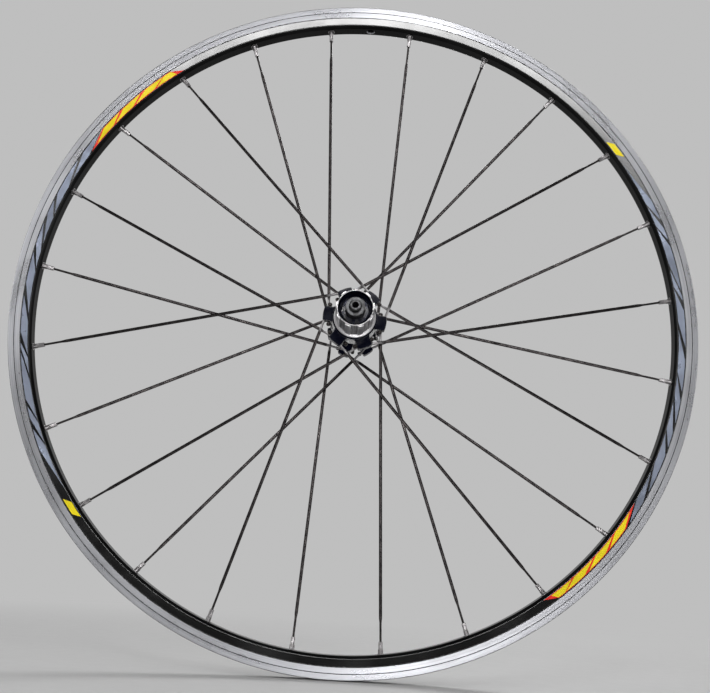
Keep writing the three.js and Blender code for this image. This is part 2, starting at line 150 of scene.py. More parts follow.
TEETH = 24
TOOTH_ROOT_R = 17
TOOTH_TIP_R = 15.7
FIRST_TOOTH = 57.4
TOOTH_LEAN = 1.6
TOOTH_FLOOR_SHARE = 0.4
RATCHET_FLOOR = 11.3
PAWL_PIVOT_R = 12.2
PAWL_HEEL_R = 1.9
PAWL_NOSE_ANGLE = 61.3
PAWL_NOSE_RADII = (14.5, 16.7)
PAWL_SPAN = (13.8, 19.7)
# A pawl's pocket: left, floor, right and top
POCKET = (-2.3, 9.6, 9.4, 17)
POCKET_CLEARANCE = 0.3
# Room cut for the spring: inner radius, outer radius and half the width
CARRIER_GROOVE = (13.1, 18, 0.75)
PAWL_SLOT = (12.7, 18, 0.85)
SPRING_Z = 16.75
SPRING_R = 13.75
SPRING_WIRE = 0.7
SPRING_OPENING = 12

# Edges: where smooth shading breaks, how far wear reaches, and how sharp an edge takes all of it
SHARP_EDGE = math.radians(35)
WEAR_WIDTH = 0.45
FULL_EDGE = math.radians(40)

# ---- geometry helpers ----


def row(x, y, z):
    """A point of the drive side's view, in millimetres, in the row frame, in metres."""
    return Vector((x, -z, y)) * MM


def polar(radius, degrees):
    angle = math.radians(degrees)
    return Vector((radius * math.cos(angle), radius * math.sin(angle)))


def arc(radius, start, end, steps):
    """Points on a circle about the axle, both ends included."""
    return [tuple(polar(radius, start + (end - start) * i / steps)) for i in range(steps + 1)]


def half_turned(outline, side):
    """The outline as it is for side 1, and turned halfway round the axle for side -1."""
    return [(x * side, y * side) for x, y in outline]


def beside_ray(degrees, along, across):
    """A point this far along a ray from the axle and this far to the left of it."""
    return tuple(polar(along, degrees) + polar(across, degrees + 90))


def rounded(corners, steps=4):
    """A closed outline. A corner is (a, b), or (a, b, radius) where an arc rounds it."""
    outline = []
    for i, (a, b, *radius) in enumerate(corners):
        corner = Vector((a, b))
        if not radius:
            outline.append((a, b))
            continue
        back = (Vector(corners[i - 1][:2]) - corner).normalized()
        ahead = (Vector(corners[(i + 1) % len(corners)][:2]) - corner).normalized()
        half = back.angle(ahead) / 2
        centre = corner + (back + ahead).normalized() * radius[0] / math.sin(half)
        first = corner + back * radius[0] / math.tan(half) - centre
        last = corner + ahead * radius[0] / math.tan(half) - centre
        start = math.atan2(first.y, first.x)
        sweep = (math.atan2(last.y, last.x) - start + math.pi) % math.tau - math.pi
        for step in range(steps + 1):
            angle = start + sweep * step / steps
            outline.append(tuple(centre + Vector((math.cos(angle), math.sin(angle))) * radius[0]))
    return outline


def smooth(piece):
    """Smooth shading that breaks at sharp edges."""
    piece.data.shade_smooth()
    piece.data.set_sharp_from_angle(angle=SHARP_EDGE)
    return piece


def flat_faced(piece):
    """Lets wide faces keep their own direction, where a boolean leaves them in long thin pieces."""
    weighted = piece.modifiers.new("weighted", "WEIGHTED_NORMAL")
    weighted.mode = "FACE_AREA"
    weighted.keep_sharp = True


def linked(name, data):
    """An object with this mesh, lamp or camera, in the scene."""
    made = bpy.data.objects.new(name, data)
    bpy.context.scene.collection.objects.link(made)
    return made


def mesh_of(name, materials):
    mesh = bpy.data.meshes.new(name)
    for material in materials:
        mesh.materials.append(material)
    return mesh


def joined(name, rings, materials=(), closed=False):
    """A closed tube through rings that hold the same number of points: its ends are capped, or meet.
    A tool that only cuts has no materials."""
    count = len(rings[0])
    points = [point for ring in rings for point in ring]
    faces = []
    for i in range(len(rings) if closed else len(rings) - 1):
        here = i * count
        there = (i + 1) % len(rings) * count
        for k in range(count):
            after = (k + 1) % count
            faces.append((here + k, here + after, there + after, there + k))
    if not closed:
        faces.append(tuple(reversed(range(count))))
        faces.append(tuple(range(len(points) - count, len(points))))
    mesh = mesh_of(name, materials)
    mesh.from_pydata(points, [], faces)
    if materials:
        mark_edges(mesh)
    return smooth(linked(name, mesh))


def mark_edges(mesh):
    """Stores how sharply the surface turns at each point, from 0 to 1, for wear along the edges."""
    shape = bmesh.new()
    shape.from_mesh(mesh)
    turns = [max(edge.calc_face_angle(0) for edge in point.link_edges) for point in shape.verts]
    shape.free()
    attribute = mesh.attributes.new("edge", "FLOAT", "POINT")
    attribute.data.foreach_set("value", [min(1, turn / FULL_EDGE) for turn in turns])


def supported(profile):
    """The profile with points added near the ends of its long lines, so that edge wear stays narrow."""
    points = []
    for i, here in enumerate(profile):
        following = profile[(i + 1) % len(profile)]
        start, end = Vector(here), Vector(following)
        points.append(here)
        length = (end - start).length
        if length > 3 * WEAR_WIDTH and not (start.x == 0 and end.x == 0):
            for distance in (WEAR_WIDTH, length - WEAR_WIDTH):
                points.append(tuple(start.lerp(end, distance / length)))
    return points


def turned(name, profile, segments, materials=()):
    """Closed (radius, z) corners, anticlockwise with the radius to the right, turned about the axle.
    A solid piece's profile starts and ends on the axle."""
    rings = []
    if materials:
        profile = supported(profile)
    for radius, z in profile:
        if radius > 0:
            rings.append([row(*polar(radius, 360 * s / segments), z) for s in range(segments)])
    return joined(name, rings, materials, closed=len(rings) == len(profile))


def prism(name, outline, start, end, materials=(), bevel=0.0, steps=2, narrow=False):
    """An outline of (x, y) corners, anticlockwise, from one z to another, with rounded end edges.
    A narrow one has corners too tight for the inner ring that keeps the edge wear in."""
    points = [Vector(point) for point in outline]
    inward = []
    for i, point in enumerate(points):
        back = (point - points[i - 1]).normalized()
        ahead = (points[(i + 1) % len(points)] - point).normalized()
        mitre = (back + ahead).normalized()
        inward.append(Vector((-mitre.y, mitre.x)) / max(0.5, mitre.dot(ahead)))
    rings = []
    angles = [math.pi / 2 * i / steps for i in range(steps + 1)] if bevel else [math.pi / 2]
    edge = [(bevel * (1 - math.sin(a)), bevel * (1 - math.cos(a))) for a in angles]
    if materials:
        inner_ring = [] if narrow else [(bevel + WEAR_WIDTH, 0)]
        edge = [*inner_ring, *edge, (0, bevel + WEAR_WIDTH)]
    levels = [(depth, start + rise) for depth, rise in edge]
    levels += [(depth, end - rise) for depth, rise in reversed(edge)]
    for depth, z in levels:
        rings.append([row(*(p + n * depth), z) for p, n in zip(points, inward)])
    return joined(name, rings, materials)


def ellipse(half_width, half_depth, distance, sides, flatness=1.0):
    """One ring of a rod along local Z. A flatness under 1 squares the ellipse off."""
    ring = []
    for k in range(sides):
        across = math.cos(math.tau * k / sides)
        up = math.sin(math.tau * k / sides)
        x = math.copysign(abs(across) ** flatness, across) * half_width
        y = math.copysign(abs(up) ** flatness, up) * half_depth
        ring.append(Vector((x, y, distance)) * MM)
    return ring


def rod(name, profile, sides, materials=(), at=None):
    """(radius, distance) corners turned about local Z, and set in place by the matrix `at`."""
    rings = [ellipse(radius, radius, distance, sides) for radius, distance in profile if radius > 0]
    piece = joined(name, rings, materials, closed=len(rings) == len(profile))
    if at:
        piece.data.transform(at)
    return piece


def stepped(steps, end):
    """The profile of a stepped bore, from (start, radius) of each step, for rod() or turned()."""
    corners = [(0, steps[0][0])]
    for (start, radius), (following, _) in zip(steps, [*steps[1:], (end, 0)]):
        corners += [(radius, start), (radius, following)]
    return [*corners, (0, end)]


def ring_shape(inner, outer, middle, half):
    """The profile of a square-sided ring about a plane z = middle."""
    near, far = middle - half, middle + half
    return [(inner, near), (outer, near), (outer, far), (inner, far)]


def cut_into_triangles(piece):
    """Splits the piece's many-sided faces, so that a boolean leaves none with a hole or a deep bay."""
    shape = bmesh.new()
    shape.from_mesh(piece.data)
    bmesh.ops.triangulate(shape, faces=[face for face in shape.faces if len(face.verts) > 4])
    shape.to_mesh(piece.data)
    shape.free()


def combined(target, tool, operation):
    """Adds the tool to the target or cuts it out, and removes the tool."""
    cut_into_triangles(target)
    cut_into_triangles(tool)
    modifier = target.modifiers.new("combined", "BOOLEAN")
    modifier.object = tool
    modifier.operation = operation
    modifier.solver = "MANIFOLD"
    graph = bpy.context.evaluated_depsgraph_get()
    mesh = bpy.data.meshes.new_from_object(target.evaluated_get(graph))
    target.modifiers.clear()
    target.data = mesh
    bpy.data.objects.remove(tool)
    return smooth(target)


def merged(name, pieces):
    """Several objects as one mesh, which keeps the first one's materials."""
    shape = bmesh.new()
    for piece in pieces:
        shape.from_mesh(piece.data)
    mesh = mesh_of(name, pieces[0].data.materials)
    shape.to_mesh(mesh)
    shape.free()
    for piece in pieces:
        bpy.data.objects.remove(piece)
    return smooth(linked(name, mesh))


def paint(piece, rule):
    """Gives each face the material slot that the rule says from the distance of its middle from
    the axle, its middle and its normal, in the drive side's view."""
    for face in piece.data.polygons:
        middle, normal = (Vector((v.x, v.z, -v.y)) for v in (face.center / MM, face.normal))
        face.material_index = rule(math.hypot(middle.x, middle.y), middle, normal)


def place(piece, body, slot, *nodes):
    """Lets a piece ride on a body and hides the CAD nodes that it stands for. The slot is not used."""
    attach(piece, body)
    if nodes:
        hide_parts(*nodes)
    return piece

# ---- finishes ----

BACKDROP_GREY = 0.52
FRONT_GREY = 0.16
FLOOR_FADE = (0.5, 1.5)


class Nodes:
    """The shader nodes of a material or a world."""

    def __init__(self, owner):
        owner.use_nodes = True
        self.tree = owner.node_tree

    def node(self, kind, inputs=None, **settings):
        made = self.tree.nodes.new("ShaderNode" + kind)
        for setting, value in settings.items():
            setattr(made, setting, value)
        for socket, value in (inputs or {}).items():
            self.give(made.inputs[socket], value)
        return made

    def give(self, socket, value):
        """Links the value to the socket if it comes from another node, and else sets it."""
        if isinstance(value, bpy.types.NodeSocket):
            self.tree.links.new(value, socket)
        else:
            socket.default_value = value


class Finish(Nodes):
    """A Principled material. Its patterns read the piece's own coordinates, in metres."""

    def __init__(self, name, **sockets):
        self.material = bpy.data.materials.new(name)
        super().__init__(self.material)
        self.shader = self.tree.nodes["Principled BSDF"]
        self.place = self.node("TexCoord").outputs["Object"]
        for socket, value in sockets.items():
            self.shader.inputs[socket.replace("_", " ")].default_value = value

    def maths(self, operation, a, b):
        return self.node("Math", {0: a, 1: b}, operation=operation).outputs[0]

    def product(self, *values):
        result = values[0]
        for value in values[1:]:
            result = self.maths("MULTIPLY", result, value)
        return result

    def xyz(self):
        parts = self.node("SeparateXYZ", {"Vector": self.place})
        return parts.outputs["X"], parts.outputs["Y"], parts.outputs["Z"]

    def flat(self):
        """The place with nothing of its distance along the axle."""
        x, _, z = self.xyz()
        return self.node("CombineXYZ", {"X": x, "Z": z}).outputs[0]

    def radius(self):
        """The distance from the axle, in metres."""
        return self.node("VectorMath", {0: self.flat()}, operation="LENGTH").outputs["Value"]

    def noise(self, scale, detail=4.0, roughness=0.55, at=None):
        inputs = {"Scale": scale, "Detail": detail, "Roughness": roughness}
        return self.node("TexNoise", {"Vector": at or self.place, **inputs}).outputs["Fac"]

    def lathe_marks(self, around, outward, detail, roughness=0.55):
        """Noise that is slow around the axle, and quick outward and along it."""
        facing = self.node("VectorMath", {0: self.flat()}, operation="NORMALIZE").outputs[0]
        parts = self.node("SeparateXYZ", {"Vector": facing})
        _, y, _ = self.xyz()
        at = self.node("CombineXYZ", {
            "X": self.product(parts.outputs["X"], around),
            "Y": self.product(parts.outputs["Z"], around),
            "Z": self.product(self.maths("ADD", self.radius(), y), outward),
        }).outputs[0]
        return self.noise(1.0, detail, roughness, at)

    def drawn_marks(self, *stretch):
        """Noise drawn out along the axis with the smallest stretch."""
        at = self.node("VectorMath", {0: self.place, 1: stretch}, operation="MULTIPLY").outputs[0]
        return self.noise(1.0, 4, 0.6, at)

    def between(self, value, low, high, to_low=0.0, to_high=1.0):
        """value from low..high, smoothly onto to_low..to_high."""
        inputs = {"Value": value, "From Min": low, "From Max": high, "To Min": to_low, "To Max": to_high}
        return self.node("MapRange", inputs, interpolation_type="SMOOTHSTEP").outputs[0]

    def mix(self, share, a, b):
        return self.node("Mix", {0: share, 6: a, 7: b}, data_type="RGBA").outputs[2]

    def base(self, pattern, low, high, a, b):
        """Colour a where the pattern is under low, turning into colour b where it is over high."""
        self.colour = self.mix(self.between(pattern, low, high), a, b)

    def cover(self, share, other):
        """Another colour over the ones so far."""
        self.colour = self.mix(share, self.colour, other)

    def over(self, pattern, low, high, share, other):
        """Another colour over the ones so far, up to a share where the pattern is over high."""
        self.cover(self.between(pattern, low, high, 0, share), other)

    def rough(self, pattern, start, end, low=0.3, high=0.7):
        """Roughness from start to end, where the pattern goes from low to high."""
        self.give(self.shader.inputs["Roughness"], self.between(pattern, low, high, start, end))

    def edges(self):
        """Where the surface turns sharply, broken up as wear is."""
        edge = self.node("Attribute", attribute_name="edge").outputs["Fac"]
        worn = self.noise(900)
        return self.product(self.between(edge, 0.25, 0.8), self.between(worn, 0.4, 0.62))

    def bumped(self, *bumps):
        """Ends the finish with a chain of (height, depth in millimetres, strength) bumps."""
        normal = {}
        for height, depth, strength in bumps:
            inputs = {"Height": height, "Distance": depth * MM, "Strength": strength}
            normal = {"Normal": self.node("Bump", inputs | normal).outputs["Normal"]}
        for socket, value in {"Base Color": self.colour, **normal}.items():
            self.give(self.shader.inputs[socket], value)
        return self.material

    def brushed_around(self):
        """Stretches highlights across the lathe marks, as on a turned face."""
        tangent = self.node("Tangent", direction_type="RADIAL", axis="Y").outputs[0]
        self.give(self.shader.inputs["Tangent"], tangent)


def grey(value, tint=(0, 0, 0)):
    return (value + tint[0], value + tint[1], value + tint[2], 1)


def black_rim_finish(name, gloss):
    """Black anodised rim. The walls are glossier than the bed between the nipples."""
    f = Finish(name, Specular_IOR_Level=gloss)
    smudge = f.noise(22, 5)
    scuffs = f.lathe_marks(5, 1500, 3)
    dust = f.noise(420, 6, 0.7)
    f.base(smudge, 0.35, 0.7, grey(0.004), grey(0.009))
    f.over(scuffs, 0.66, 0.8, 0.4, grey(0.04))
    f.over(dust, 0.66, 0.84, 0.3, grey(0.1, (0.01, 0.005, 0)))
    f.cover(f.product(f.edges(), 0.6), grey(0.12))
    f.rough(smudge, 0.09, 0.15)
    grain = f.noise(2600, 3)
    return f.bumped((grain, 0.01, 0.12), (scuffs, 0.01, 0.1))


def brake_track_finish():
    """Aluminium turned and then rubbed by brake pads, with fine rings and a little grime."""
    f = Finish("machined_track", Metallic=1.0, Anisotropic=0.8, Anisotropic_Rotation=0.25)
    f.brushed_around()
    rings = f.lathe_marks(0.3, 9000, 3, 0.7)
    streaks = f.lathe_marks(1.2, 1400, 4, 0.6)
    patches = f.lathe_marks(5, 60, 4)
    grime = f.noise(260, 6, 0.7)
    dark, light = grey(0.4, (0, 0.004, 0.03)), grey(0.5, (0, 0.004, 0.028))
    f.base(streaks, 0.35, 0.7, dark, light)
    f.over(patches, 0.5, 0.72, 0.35, grey(0.3, (0.003, 0.003, 0.02)))
    f.over(grime, 0.7, 0.84, 0.3, grey(0.22, (0.012, 0.006, 0)))
    f.rough(patches, 0.26, 0.36)
    return f.bumped((rings, 0.01, 0.15), (streaks, 0.01, 0.08))


def black_anodised_finish():
    """Black anodised aluminium with a blue cast, rubbed to grey along its edges."""
    f = Finish("black_anodised", Specular_IOR_Level=0.08)
    marks = f.lathe_marks(0.8, 5000, 3, 0.7)
    smudge = f.noise(110, 5)
    dust = f.noise(1300, 5, 0.7)
    dark, light = grey(0.002, (0, 0.0003, 0.006)), grey(0.004, (0, 0.001, 0.009))
    f.base(smudge, 0.35, 0.7, dark, light)
    f.over(dust, 0.66, 0.8, 0.25, grey(0.08))
    f.cover(f.edges(), grey(0.22))
    f.rough(smudge, 0.07, 0.13)
    return f.bumped((marks, 0.01, 0.15))


def turned_alloy_finish(name, dark, light, roughness):
    """Bare aluminium off the lathe, for the hub's cut faces, the axle and the caps."""
    f = Finish(name, Metallic=1.0, Anisotropic=0.5, Anisotropic_Rotation=0.25)
    f.brushed_around()
    marks = f.lathe_marks(0.8, 7000, 3, 0.7)
    stains = f.noise(240, 6, 0.65)
    pits = f.noise(1100, 5, 0.7)
    f.base(stains, 0.35, 0.68, grey(light, (0, 0.002, 0.006)), grey(dark))
    f.over(pits, 0.62, 0.78, 0.5, grey(dark * 0.4))
    f.rough(stains, roughness - 0.06, roughness + 0.1)
    return f.bumped((marks, 0.02, 0.2))


def freehub_finish():
    """Bright alloy, painted near-black in its grooves as grease and as painted shade, with faint bites
    across the splines at every sprocket.
    """
    cog_pitch = 4.55 * MM
    f = Finish("freehub_alloy", Metallic=1.0)
    _, y, _ = f.xyz()
    outward = f.product(y, -1)
    foot, tip = (z * MM for z in SPLINE_SPAN)
    cogs = f.maths("PINGPONG", y, cog_pitch / 2)
    uneven = f.between(f.noise(160, 3), 0.4, 0.6)
    bites = f.product(f.between(cogs, 0.0, 0.5 * MM, 1, 0), uneven)
    marks = f.lathe_marks(1.0, 5000, 3, 0.7)
    drawn = f.drawn_marks(900, 40, 900)
    deep = f.between(f.radius(), (SPLINE_ROOT_R + 0.2) * MM, (SPLINE_R - 0.3) * MM, 1, 0)
    past_collar = f.between(outward, foot + 0.6 * MM, foot + 1.2 * MM)
    before_lip = f.between(outward, tip - 0.2 * MM, tip + 0.2 * MM, 1, 0)
    # Painted shade: the grooves are painted near-black, partly as grease and partly as the shade that
    # falls in them
    groove_grease_and_shade = f.product(deep, past_collar, before_lip, f.between(drawn, 0.3, 0.65, 0.55, 1.0))
    f.base(drawn, 0.4, 0.7, grey(0.62, (0.01, 0, 0.012)), grey(0.42, (0.005, 0, 0.006)))
    f.cover(groove_grease_and_shade, grey(0.08, (0.002, 0, 0.004)))
    f.cover(f.product(bites, 0.4), grey(0.25))
    f.cover(f.edges(), grey(0.72))
    f.rough(drawn, 0.28, 0.38)
    return f.bumped((marks, 0.02, 0.15), (bites, 0.06, 0.4))


def spoke_finish():
    """Black steel along local Z, painted lighter on the round neck by the hub: partly bare metal, partly
    a painted highlight.
    """
    f = Finish("spoke_steel", Metallic=1.0)
    _, _, along = f.xyz()
    drawn = f.drawn_marks(2500, 2500, 60)
    rubs = f.noise(130, 5, 0.6)
    ragged = f.maths("ADD", along, f.product(drawn, 4 * MM))
    starts = f.between(ragged, 4 * MM, 5.5 * MM)
    ends = f.between(ragged, 20.5 * MM, 25 * MM, 1, 0)
    neck = f.product(starts, ends)
    f.base(rubs, 0.35, 0.7, grey(0.018, (0.002, 0, 0.001)), grey(0.045, (0.006, 0.001, 0)))
    f.over(drawn, 0.6, 0.78, 0.3, grey(0.09))
    # Painted highlight: the neck's lighter colour stands partly for bare metal and partly for the
    # highlight a round neck catches
    f.cover(neck, grey(0.3, (0.01, 0, 0.005)))
    f.rough(drawn, 0.24, 0.4)
    return f.bumped((drawn, 0.02, 0.2))


def nickel_finish():
    """Nickel plate gone dull, for the nipples and eyelets."""
    f = Finish("nipple_metal", Metallic=1.0)
    stains = f.noise(500, 5, 0.65)
    bright, dull = grey(0.3, (0.015, 0.003, 0.008)), grey(0.12, (0.012, 0.005, 0.004))
    f.base(stains, 0.4, 0.7, bright, dull)
    f.rough(stains, 0.26, 0.42)
    grain = f.noise(4000, 3)
    return f.bumped((grain, 0.02, 0.3))


def steel_finish(name, value, roughness, oil_tint=(0.02, 0.012, 0)):
    """Ground or hardened steel, with a little oil and tarnish."""
    f = Finish(name, Metallic=1.0)
    marks = f.lathe_marks(0.8, 9000, 3, 0.7)
    oil = f.noise(300, 5, 0.6)
    f.base(oil, 0.4, 0.65, grey(value), grey(value * 0.6, oil_tint))
    f.rough(oil, roughness - 0.08, roughness + 0.1)
    return f.bumped((marks, 0.02, 0.4))


def rubber_finish():
    """Black seal rubber, glossy where grease lies on it."""
    f = Finish("seal_rubber")
    grain = f.noise(3500, 4, 0.7)
    grease = f.noise(350, 4)
    f.base(grease, 0.4, 0.7, grey(0.012, (0, 0.002, 0.014)), grey(0.03, (0, 0.001, 0.012)))
    f.rough(grease, 0.16, 0.4, 0.35, 0.65)
    return f.bumped((grain, 0.04, 0.4))


def ink_finish(name, colour, metal=0.0):
    """Printed film, faded in places, with scratches along its run and chips down to the black."""
    f = Finish(name, Metallic=metal, Specular_IOR_Level=0.12)
    fade = f.noise(45, 4)
    scratches = f.lathe_marks(6, 2600, 3, 0.6)
    chips = f.noise(900, 5, 0.7)
    worn_to = grey(0.02)
    shaded = tuple(channel * 0.8 for channel in colour)
    f.base(fade, 0.35, 0.7, (*colour, 1), (*shaded, 1))
    f.over(scratches, 0.64, 0.76, 0.6, worn_to)
    f.over(chips, 0.68, 0.76, 1, worn_to)
    f.rough(fade, 0.26, 0.42)
    return f.bumped((scratches, 0.03, 0.3))


def floor_finish():
    """Pale matt paint that fades into the backdrop's own grey a short way from the wheel."""
    f = Finish("floor_paint", Specular_IOR_Level=0.2)
    cloud = f.noise(1.5, 3)
    grain = f.noise(60, 4)
    f.base(cloud, 0.3, 0.7, grey(0.62), grey(0.65))
    f.rough(grain, 0.55, 0.7)
    f.bumped((grain, 0.2, 0.15))
    away = f.node("VectorMath", {0: f.place}, operation="LENGTH").outputs["Value"]
    glow = f.node("Emission", {"Color": grey(BACKDROP_GREY)})
    shaders = {0: f.between(away, *FLOOR_FADE), 1: f.shader.outputs[0], 2: glow.outputs[0]}
    faded = f.node("MixShader", shaders).outputs[0]
    f.give(f.tree.nodes["Material Output"].inputs["Surface"], faded)
    return f.material


rim_black = black_rim_finish("rim_black", 0.4)
rim_bed = black_rim_finish("rim_bed", 0.03)
brake_track = brake_track_finish()
black_anodised = black_anodised_finish()
cut_alloy = turned_alloy_finish("cut_alloy", 0.45, 0.75, 0.22)
axle_alloy = turned_alloy_finish("axle_alloy", 0.06, 0.1, 0.38)
freehub_alloy = freehub_finish()
spoke_steel = spoke_finish()
nipple_metal = nickel_finish()
race_steel = steel_finish("bearing_steel", 0.6, 0.24)
# Painted shade: near-black steel for the bearing deep in the freehub's mouth stands in for the shade
# there
mouth_shade_steel = steel_finish("painted_shade_steel", 0.05, 0.34, (0, 0.002, 0.02))
tool_steel = steel_finish("tool_steel", 0.28, 0.34)
spring_steel = steel_finish("spring_steel", 0.42, 0.28)
seal_rubber = rubber_finish()
red_ink = ink_finish("red_ink", (0.9, 0.03, 0.012))
yellow_ink = ink_finish("yellow_ink", (0.96, 0.78, 0.005))
# Grey print; its blue tint is partly a painted reflection of bluish light
grey_ink = ink_finish("grey_ink", (0.16, 0.18, 0.23), 0.45)

# ---- spoke layout ----


def spokes_of(flange, side):
    """Each spoke's name, kind, seat, length, frame along its line, and the rim's frame at its hole."""
    spokes = []
    for lug in range(LUGS):
        for way in (1, -1):
            lug_angle = flange["first_lug"] + lug * 360 / LUGS
            rim_angle = lug_angle + way * SPOKE_SWEEP
            reach = flange["forward_reach"] if way > 0 else flange["backward_reach"]
            foot_angle = rim_angle - way * math.degrees(math.acos(reach / BED_R))
            start = row(*polar(reach, foot_angle), flange["z"] + way * flange["row_offset"])
            end = row(*polar(BED_R, rim_angle), 0)
            side_face = reach * math.sin(math.radians(way * (lug_angle - foot_angle)))
            spokes.append({
                "name": f"{side}_{len(spokes) + 1:02d}",
                "kind": f"{side}_{way}",
                "seat": side_face - flange["lug_half"],
                "length": (end - start).length / MM,
                "frame": line_frame(start, end - start),
                "hole_frame": line_frame(row(0, 0, 0), end),
            })
    return spokes


def line_frame(start, direction):
    """A frame with Z along the direction and X across it, in the plane of the wheel."""
    along = direction.normalized()
    across = row(0, 0, 1).cross(along).normalized()
    depth = along.cross(across)
    turn = Matrix((across, depth, along)).transposed().to_4x4()
    return Matrix.Translation(start) @ turn


all_spokes = spokes_of(DRIVE_FLANGE, "ds") + spokes_of(FAR_FLANGE, "nds")

# ---- rim ----

BED_EDGE = 2.3
BED_FLAT = BED_HALF_WIDTH - 2.4
WALL_SLOPE = (HALF_WIDTH - BED_HALF_WIDTH) / (TRACK_INNER_R - BED_R - BED_EDGE)
GROOVE_DEPTH = 0.28
GROOVE_FLANK = 0.1
TRACK_GROOVE = (304.9, 305.7)
WEAR_GROOVE = (310.6, 311.3)
HOOK_LIP = (2.2, 2.8)
DRILL_MARGIN = 3
EYELET_DRILL_DEPTH = 4
# How far past the spoke's end an access hole is cut, from and to
ACCESS_DRILL = (8, 18)
# How much wider than the valve hole its inner and outer mouths are
VALVE_COUNTERSINK = (3.5, 3)


def wall_z(radius):
    """Half the rim's width on its black sloping wall."""
    return HALF_WIDTH - (TRACK_INNER_R - radius) * WALL_SLOPE


def both_sides(half):
    """Corners of one half of a section, after the same ones on the far half."""
    mirrored = [(radius, -z, *rest) for radius, z, *rest in half]
    return mirrored + half[::-1]


def groove_corners(span, inner_z):
    """A shallow groove turned into the wall between two radii."""
    floor = HALF_WIDTH - GROOVE_DEPTH
    start, end = span
    bottom = [(start + GROOVE_FLANK, floor), (end - GROOVE_FLANK, floor)]
    return [(start, inner_z), *bottom, (end, HALF_WIDTH)]


def rim_outline():
    """The rim's section: bed, sloping wall, brake track, tyre hook and well."""
    return rounded(both_sides([
        (BED_R, BED_FLAT, 1.8),
        (BED_R + BED_EDGE, BED_HALF_WIDTH, 1.4),
        *groove_corners(TRACK_GROOVE, wall_z(TRACK_GROOVE[0])),
        *groove_corners(WEAR_GROOVE, HALF_WIDTH),
        (RIM_OUTER_R, HALF_WIDTH, 0.6),
        (RIM_OUTER_R, HALF_GAP, 0.6),
        (RIM_OUTER_R - HOOK_LIP[0], HALF_GAP, 0.4),
        (RIM_OUTER_R - HOOK_LIP[1], HALF_WIDTH - RIM_WALL, 0.3),
        (BEAD_SEAT_R, HALF_WIDTH - RIM_WALL, 0.6),
        (BEAD_SEAT_R - 0.4, 5, 0.8),
        (WELL_R, 3, 1.2),
    ]))


def rim_hollow():
    """The closed space between the two floors. It turns the other way round, as a hole does."""
    return rounded(both_sides([
        (BED_R + RIM_WALL, BED_HALF_WIDTH - 3.2, 1),
        (TRACK_INNER_R, HALF_WIDTH - RIM_WALL, 1),
        (BEAD_SEAT_R - 2, HALF_WIDTH - RIM_WALL - 0.6, 0.6),
        (BEAD_SEAT_R - 1.8, 5.5, 0.5),
        (WELL_R - 1.5, 3.5, 1),
    ]), 2)[::-1]


def rim_rule(out, middle, normal):
    """Bare metal on the brake tracks and in the valve hole, and black elsewhere."""
    black, track, bed = 0, 1, 2
    near_valve = math.hypot(middle.x, middle.z) < VALVE_HOLE_R + 0.6 and middle.y > 0
    if near_valve and abs(normal.y) < 0.9:
        return track
    if abs(middle.z) > HALF_WIDTH - 0.1 and out > TRACK_GROOVE[1]:
        return track
    return bed if out < BED_R + 2 else black


def make_rim():
    materials = [rim_black, brake_track, rim_bed]
    wall = turned("rim_wall", rim_outline(), RIM_SEGMENTS, materials)
    hollow = turned("rim_hollow", rim_hollow(), RIM_SEGMENTS, materials)
    rim = merged("alloy_rim", [wall, hollow])
    cuts = []
    for spoke in all_spokes:
        bed = stepped([(BED_R - DRILL_MARGIN, EYELET_HOLE_R)], BED_R + EYELET_DRILL_DEPTH)
        cuts.append(rod("cut", bed, 24, at=spoke["hole_frame"]))
        start, end = (spoke["length"] + distance for distance in ACCESS_DRILL)
        cuts.append(rod("cut", stepped([(start, ACCESS_HOLE_R)], end), 28, at=spoke["frame"]))
    inner_flare, outer_flare = VALVE_COUNTERSINK
    valve = [
        (0, BED_R - DRILL_MARGIN),
        (VALVE_HOLE_R + inner_flare, BED_R - DRILL_MARGIN),
        (VALVE_HOLE_R, BED_R + 0.5),
        (VALVE_HOLE_R, WELL_R - 0.1),
        (VALVE_HOLE_R + outer_flare, WELL_R - 0.1 + outer_flare),
        (0, WELL_R - 0.1 + outer_flare),
    ]
    cuts.append(rod("cut", valve, 40, at=line_frame(row(0, 0, 0), row(0, 1, 0))))
    combined(rim, merged("cuts", cuts), "DIFFERENCE")
    paint(rim, rim_rule)
    place(rim, "wheel", "rim_black", "rim")


make_rim()

# ---- printed bars on the rim's black walls ----

BAR_INNER_R = 298.9
BAR_OUTER_R = 304.7
BAR_STEP = 0.75
BAR_LIFT = 0.06
BAR_SINK = 0.12
YELLOW_LIFT = 0.04
WHOLE_WALL = (0.0, 1.0)
MOST_OF_WALL = (0.08, 0.92)

# Degrees clockwise from the valve where a bar starts and ends, and how far its ends lean outward
LOZENGE = (50.5, 53.5, 1.2, 1.2)
RED_PANEL = (120.4, 143.4, 4.4, -2.4)
YELLOW_START = 122.2
YELLOW_PITCH = 5.1
YELLOW_WIDTH = 4.4
YELLOW_LEANS = [(3.0, 2.6), (3.0, 2.6), (3.0, 2.6), (2.2, -0.8)]
GREY_BARS = [
    (55.8, 64.2, 8.2, 3.6),
    (65.0, 68.6, 4.6, 3.2),
    (69.2, 75.8, 3.8, 5.4),
    (77.2, 80.2, 5.0, 2.8),
    (80.8, 86.6, 4.0, 4.8),
    (88.2, 95.8, 5.4, 3.4),
    (96.4, 99.6, 4.4, 5.2),
    (101.2, 106.2, 5.4, 3.0),
    (107.0, 112.6, 3.6, 5.0),
    (114.2, 119.6, 5.2, 4.2),
]


def bar(start, end, first_lean, last_lean, span=WHOLE_WALL):
    """Clockwise angles from the valve of a bar's inner and outer edge, and its share of the wall."""
    return {"inner": (start, end), "outer": (start + first_lean, end + last_lean), "span": span}


